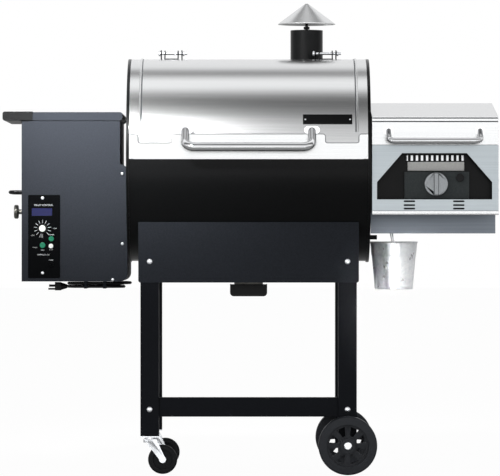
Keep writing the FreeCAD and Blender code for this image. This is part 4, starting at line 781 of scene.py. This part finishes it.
def greaseBucket():
    # profile of revolution: tapered wall with a step at the band and a bead at the foot, rim rolled
    b = bucketSet
    tall = b["top"] - b["foot"]

    def wall(z):
        return b["footRadius"] + (b["topRadius"] - 2.2 - b["footRadius"]) * (z / tall)

    outer = [(0, 3.0), (b["footRadius"] - 8, 3.0), (b["footRadius"] - 5, 0.4), (b["footRadius"] - 1, 0.2)]
    for z in np.linspace(1.5, tall - 4, 50):
        step = 0.9 / (1 + math.exp(-(z - (tall - 37)) * 2.2))
        bead = 0.7 * math.exp(-((z - 9) / 2.2) ** 2)
        outer.append((wall(z) + step + bead - 0.6, z))
    rim = [(wall(tall) + 0.6 + 1.6 * math.cos(a), tall - 1.7 + 1.6 * math.sin(a))
           for a in np.linspace(-math.pi / 2, math.pi, 12)]
    inner = [(wall(z) - b["wall"] - 0.6, z) for z in np.linspace(tall - 4, 4.5, 12)] + [(0, 4.2)]
    profile = [(r * mm, z * mm) for r, z in outer + rim + inner]
    pail = lathe("greaseBucket", profile, at(b["x"], 0, b["foot"]), (0, 0, 1), zincSpangle, "pail", 96)
    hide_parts("bucket")


greaseBucket()
print("bucket done")

# power cord: lead, coil and plug
cordSet = {"radius": 3.8, "hank": (-403.0, -19.4), "half": 35.0, "top": 495.4, "low": 486.9,
           "laps": (39.4, 31.7, 31.7, 39.4), "stepsPerLap": 20, "lastTurn": 3.98, "plugEnd": -478,
           "lead": [(-403, 240, 587), (-403, 262, 587), (-400, 288, 566), (-392, 294, 531), (-376, 276, 503),
                    (-352, 244, 495.4), (-330, 200, 495.4), (-318, 148, 495.4), (-316, 96, 495.4),
                    (-326, 52, 495.4), (-346, 27, 495.4), (-368, 20, 495.4)]}


def coilLine():
    # the lead's points, then stadium turns: two inwards on the top layer, two outwards underneath
    c = cordSet
    line = [Vector(p) for p in c["lead"]]
    cx, cy = c["hank"]
    radii = c["laps"]
    steps = c["stepsPerLap"]
    turns = [i / steps for i in range(1, 4 * steps)] + [c["lastTurn"]]
    for t in turns:
        lap = min(int(t), 3)
        share = t - lap
        radius = radii[lap]
        nextRadius = radii[min(lap + 1, 3)]
        ease = min(max((share - 0.75) / 0.25, 0), 1)
        ease = ease * ease * (3 - 2 * ease)
        radius = radius + (nextRadius - radius) * ease
        z = c["top"] if lap < 1 else c["low"]
        if lap == 1:
            z = c["top"] + (c["low"] - c["top"]) * ease
        bend = math.pi * radius
        whole = 2 * bend + 4 * c["half"]
        s = share * whole
        if s < c["half"]:
            x, y = -s, radius
        elif s < c["half"] + bend:
            a = (s - c["half"]) / radius
            x, y = -c["half"] - radius * math.sin(a), radius * math.cos(a)
        elif s < 3 * c["half"] + bend:
            x, y = -c["half"] + (s - c["half"] - bend), -radius
        elif s < 3 * c["half"] + 2 * bend:
            a = (s - 3 * c["half"] - bend) / radius
            x, y = c["half"] + radius * math.sin(a), -radius * math.cos(a)
        else:
            x, y = c["half"] - (s - 3 * c["half"] - 2 * bend), radius
        line.append(Vector((cx + x, cy + y, z)))
    y = cy + radii[3]
    line += [Vector((x, y, c["low"])) for x in (cx - 20, cx - 55, c["plugEnd"])]
    return line


def powerCord():
    line = [Vector(at(*p)) for p in coilLine()]
    curve = bpy.data.curves.new("powerCord", "CURVE")
    curve.dimensions = "3D"
    spline = curve.splines.new("NURBS")
    spline.points.add(len(line) - 1)
    for point, spot in zip(spline.points, line):
        point.co = (*spot, 1)
    spline.order_u = 3
    spline.use_endpoint_u = True
    spline.resolution_u = 6
    curve.bevel_depth = cordSet["radius"] * mm
    curve.bevel_resolution = 3
    curve.use_fill_caps = True
    curve.materials.append(cordJacket)
    cord = bpy.data.objects.new("powerCord", curve)
    scene.collection.objects.link(cord)
    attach(cord, "grill")
    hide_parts("cord_lead", "cord_hank")
    plug = foldedCopy("cord_plug", 0.8, lambda low, high: high[0] - low[0] > 40 * mm, None, "Moulded")


powerCord()
print("cord done")
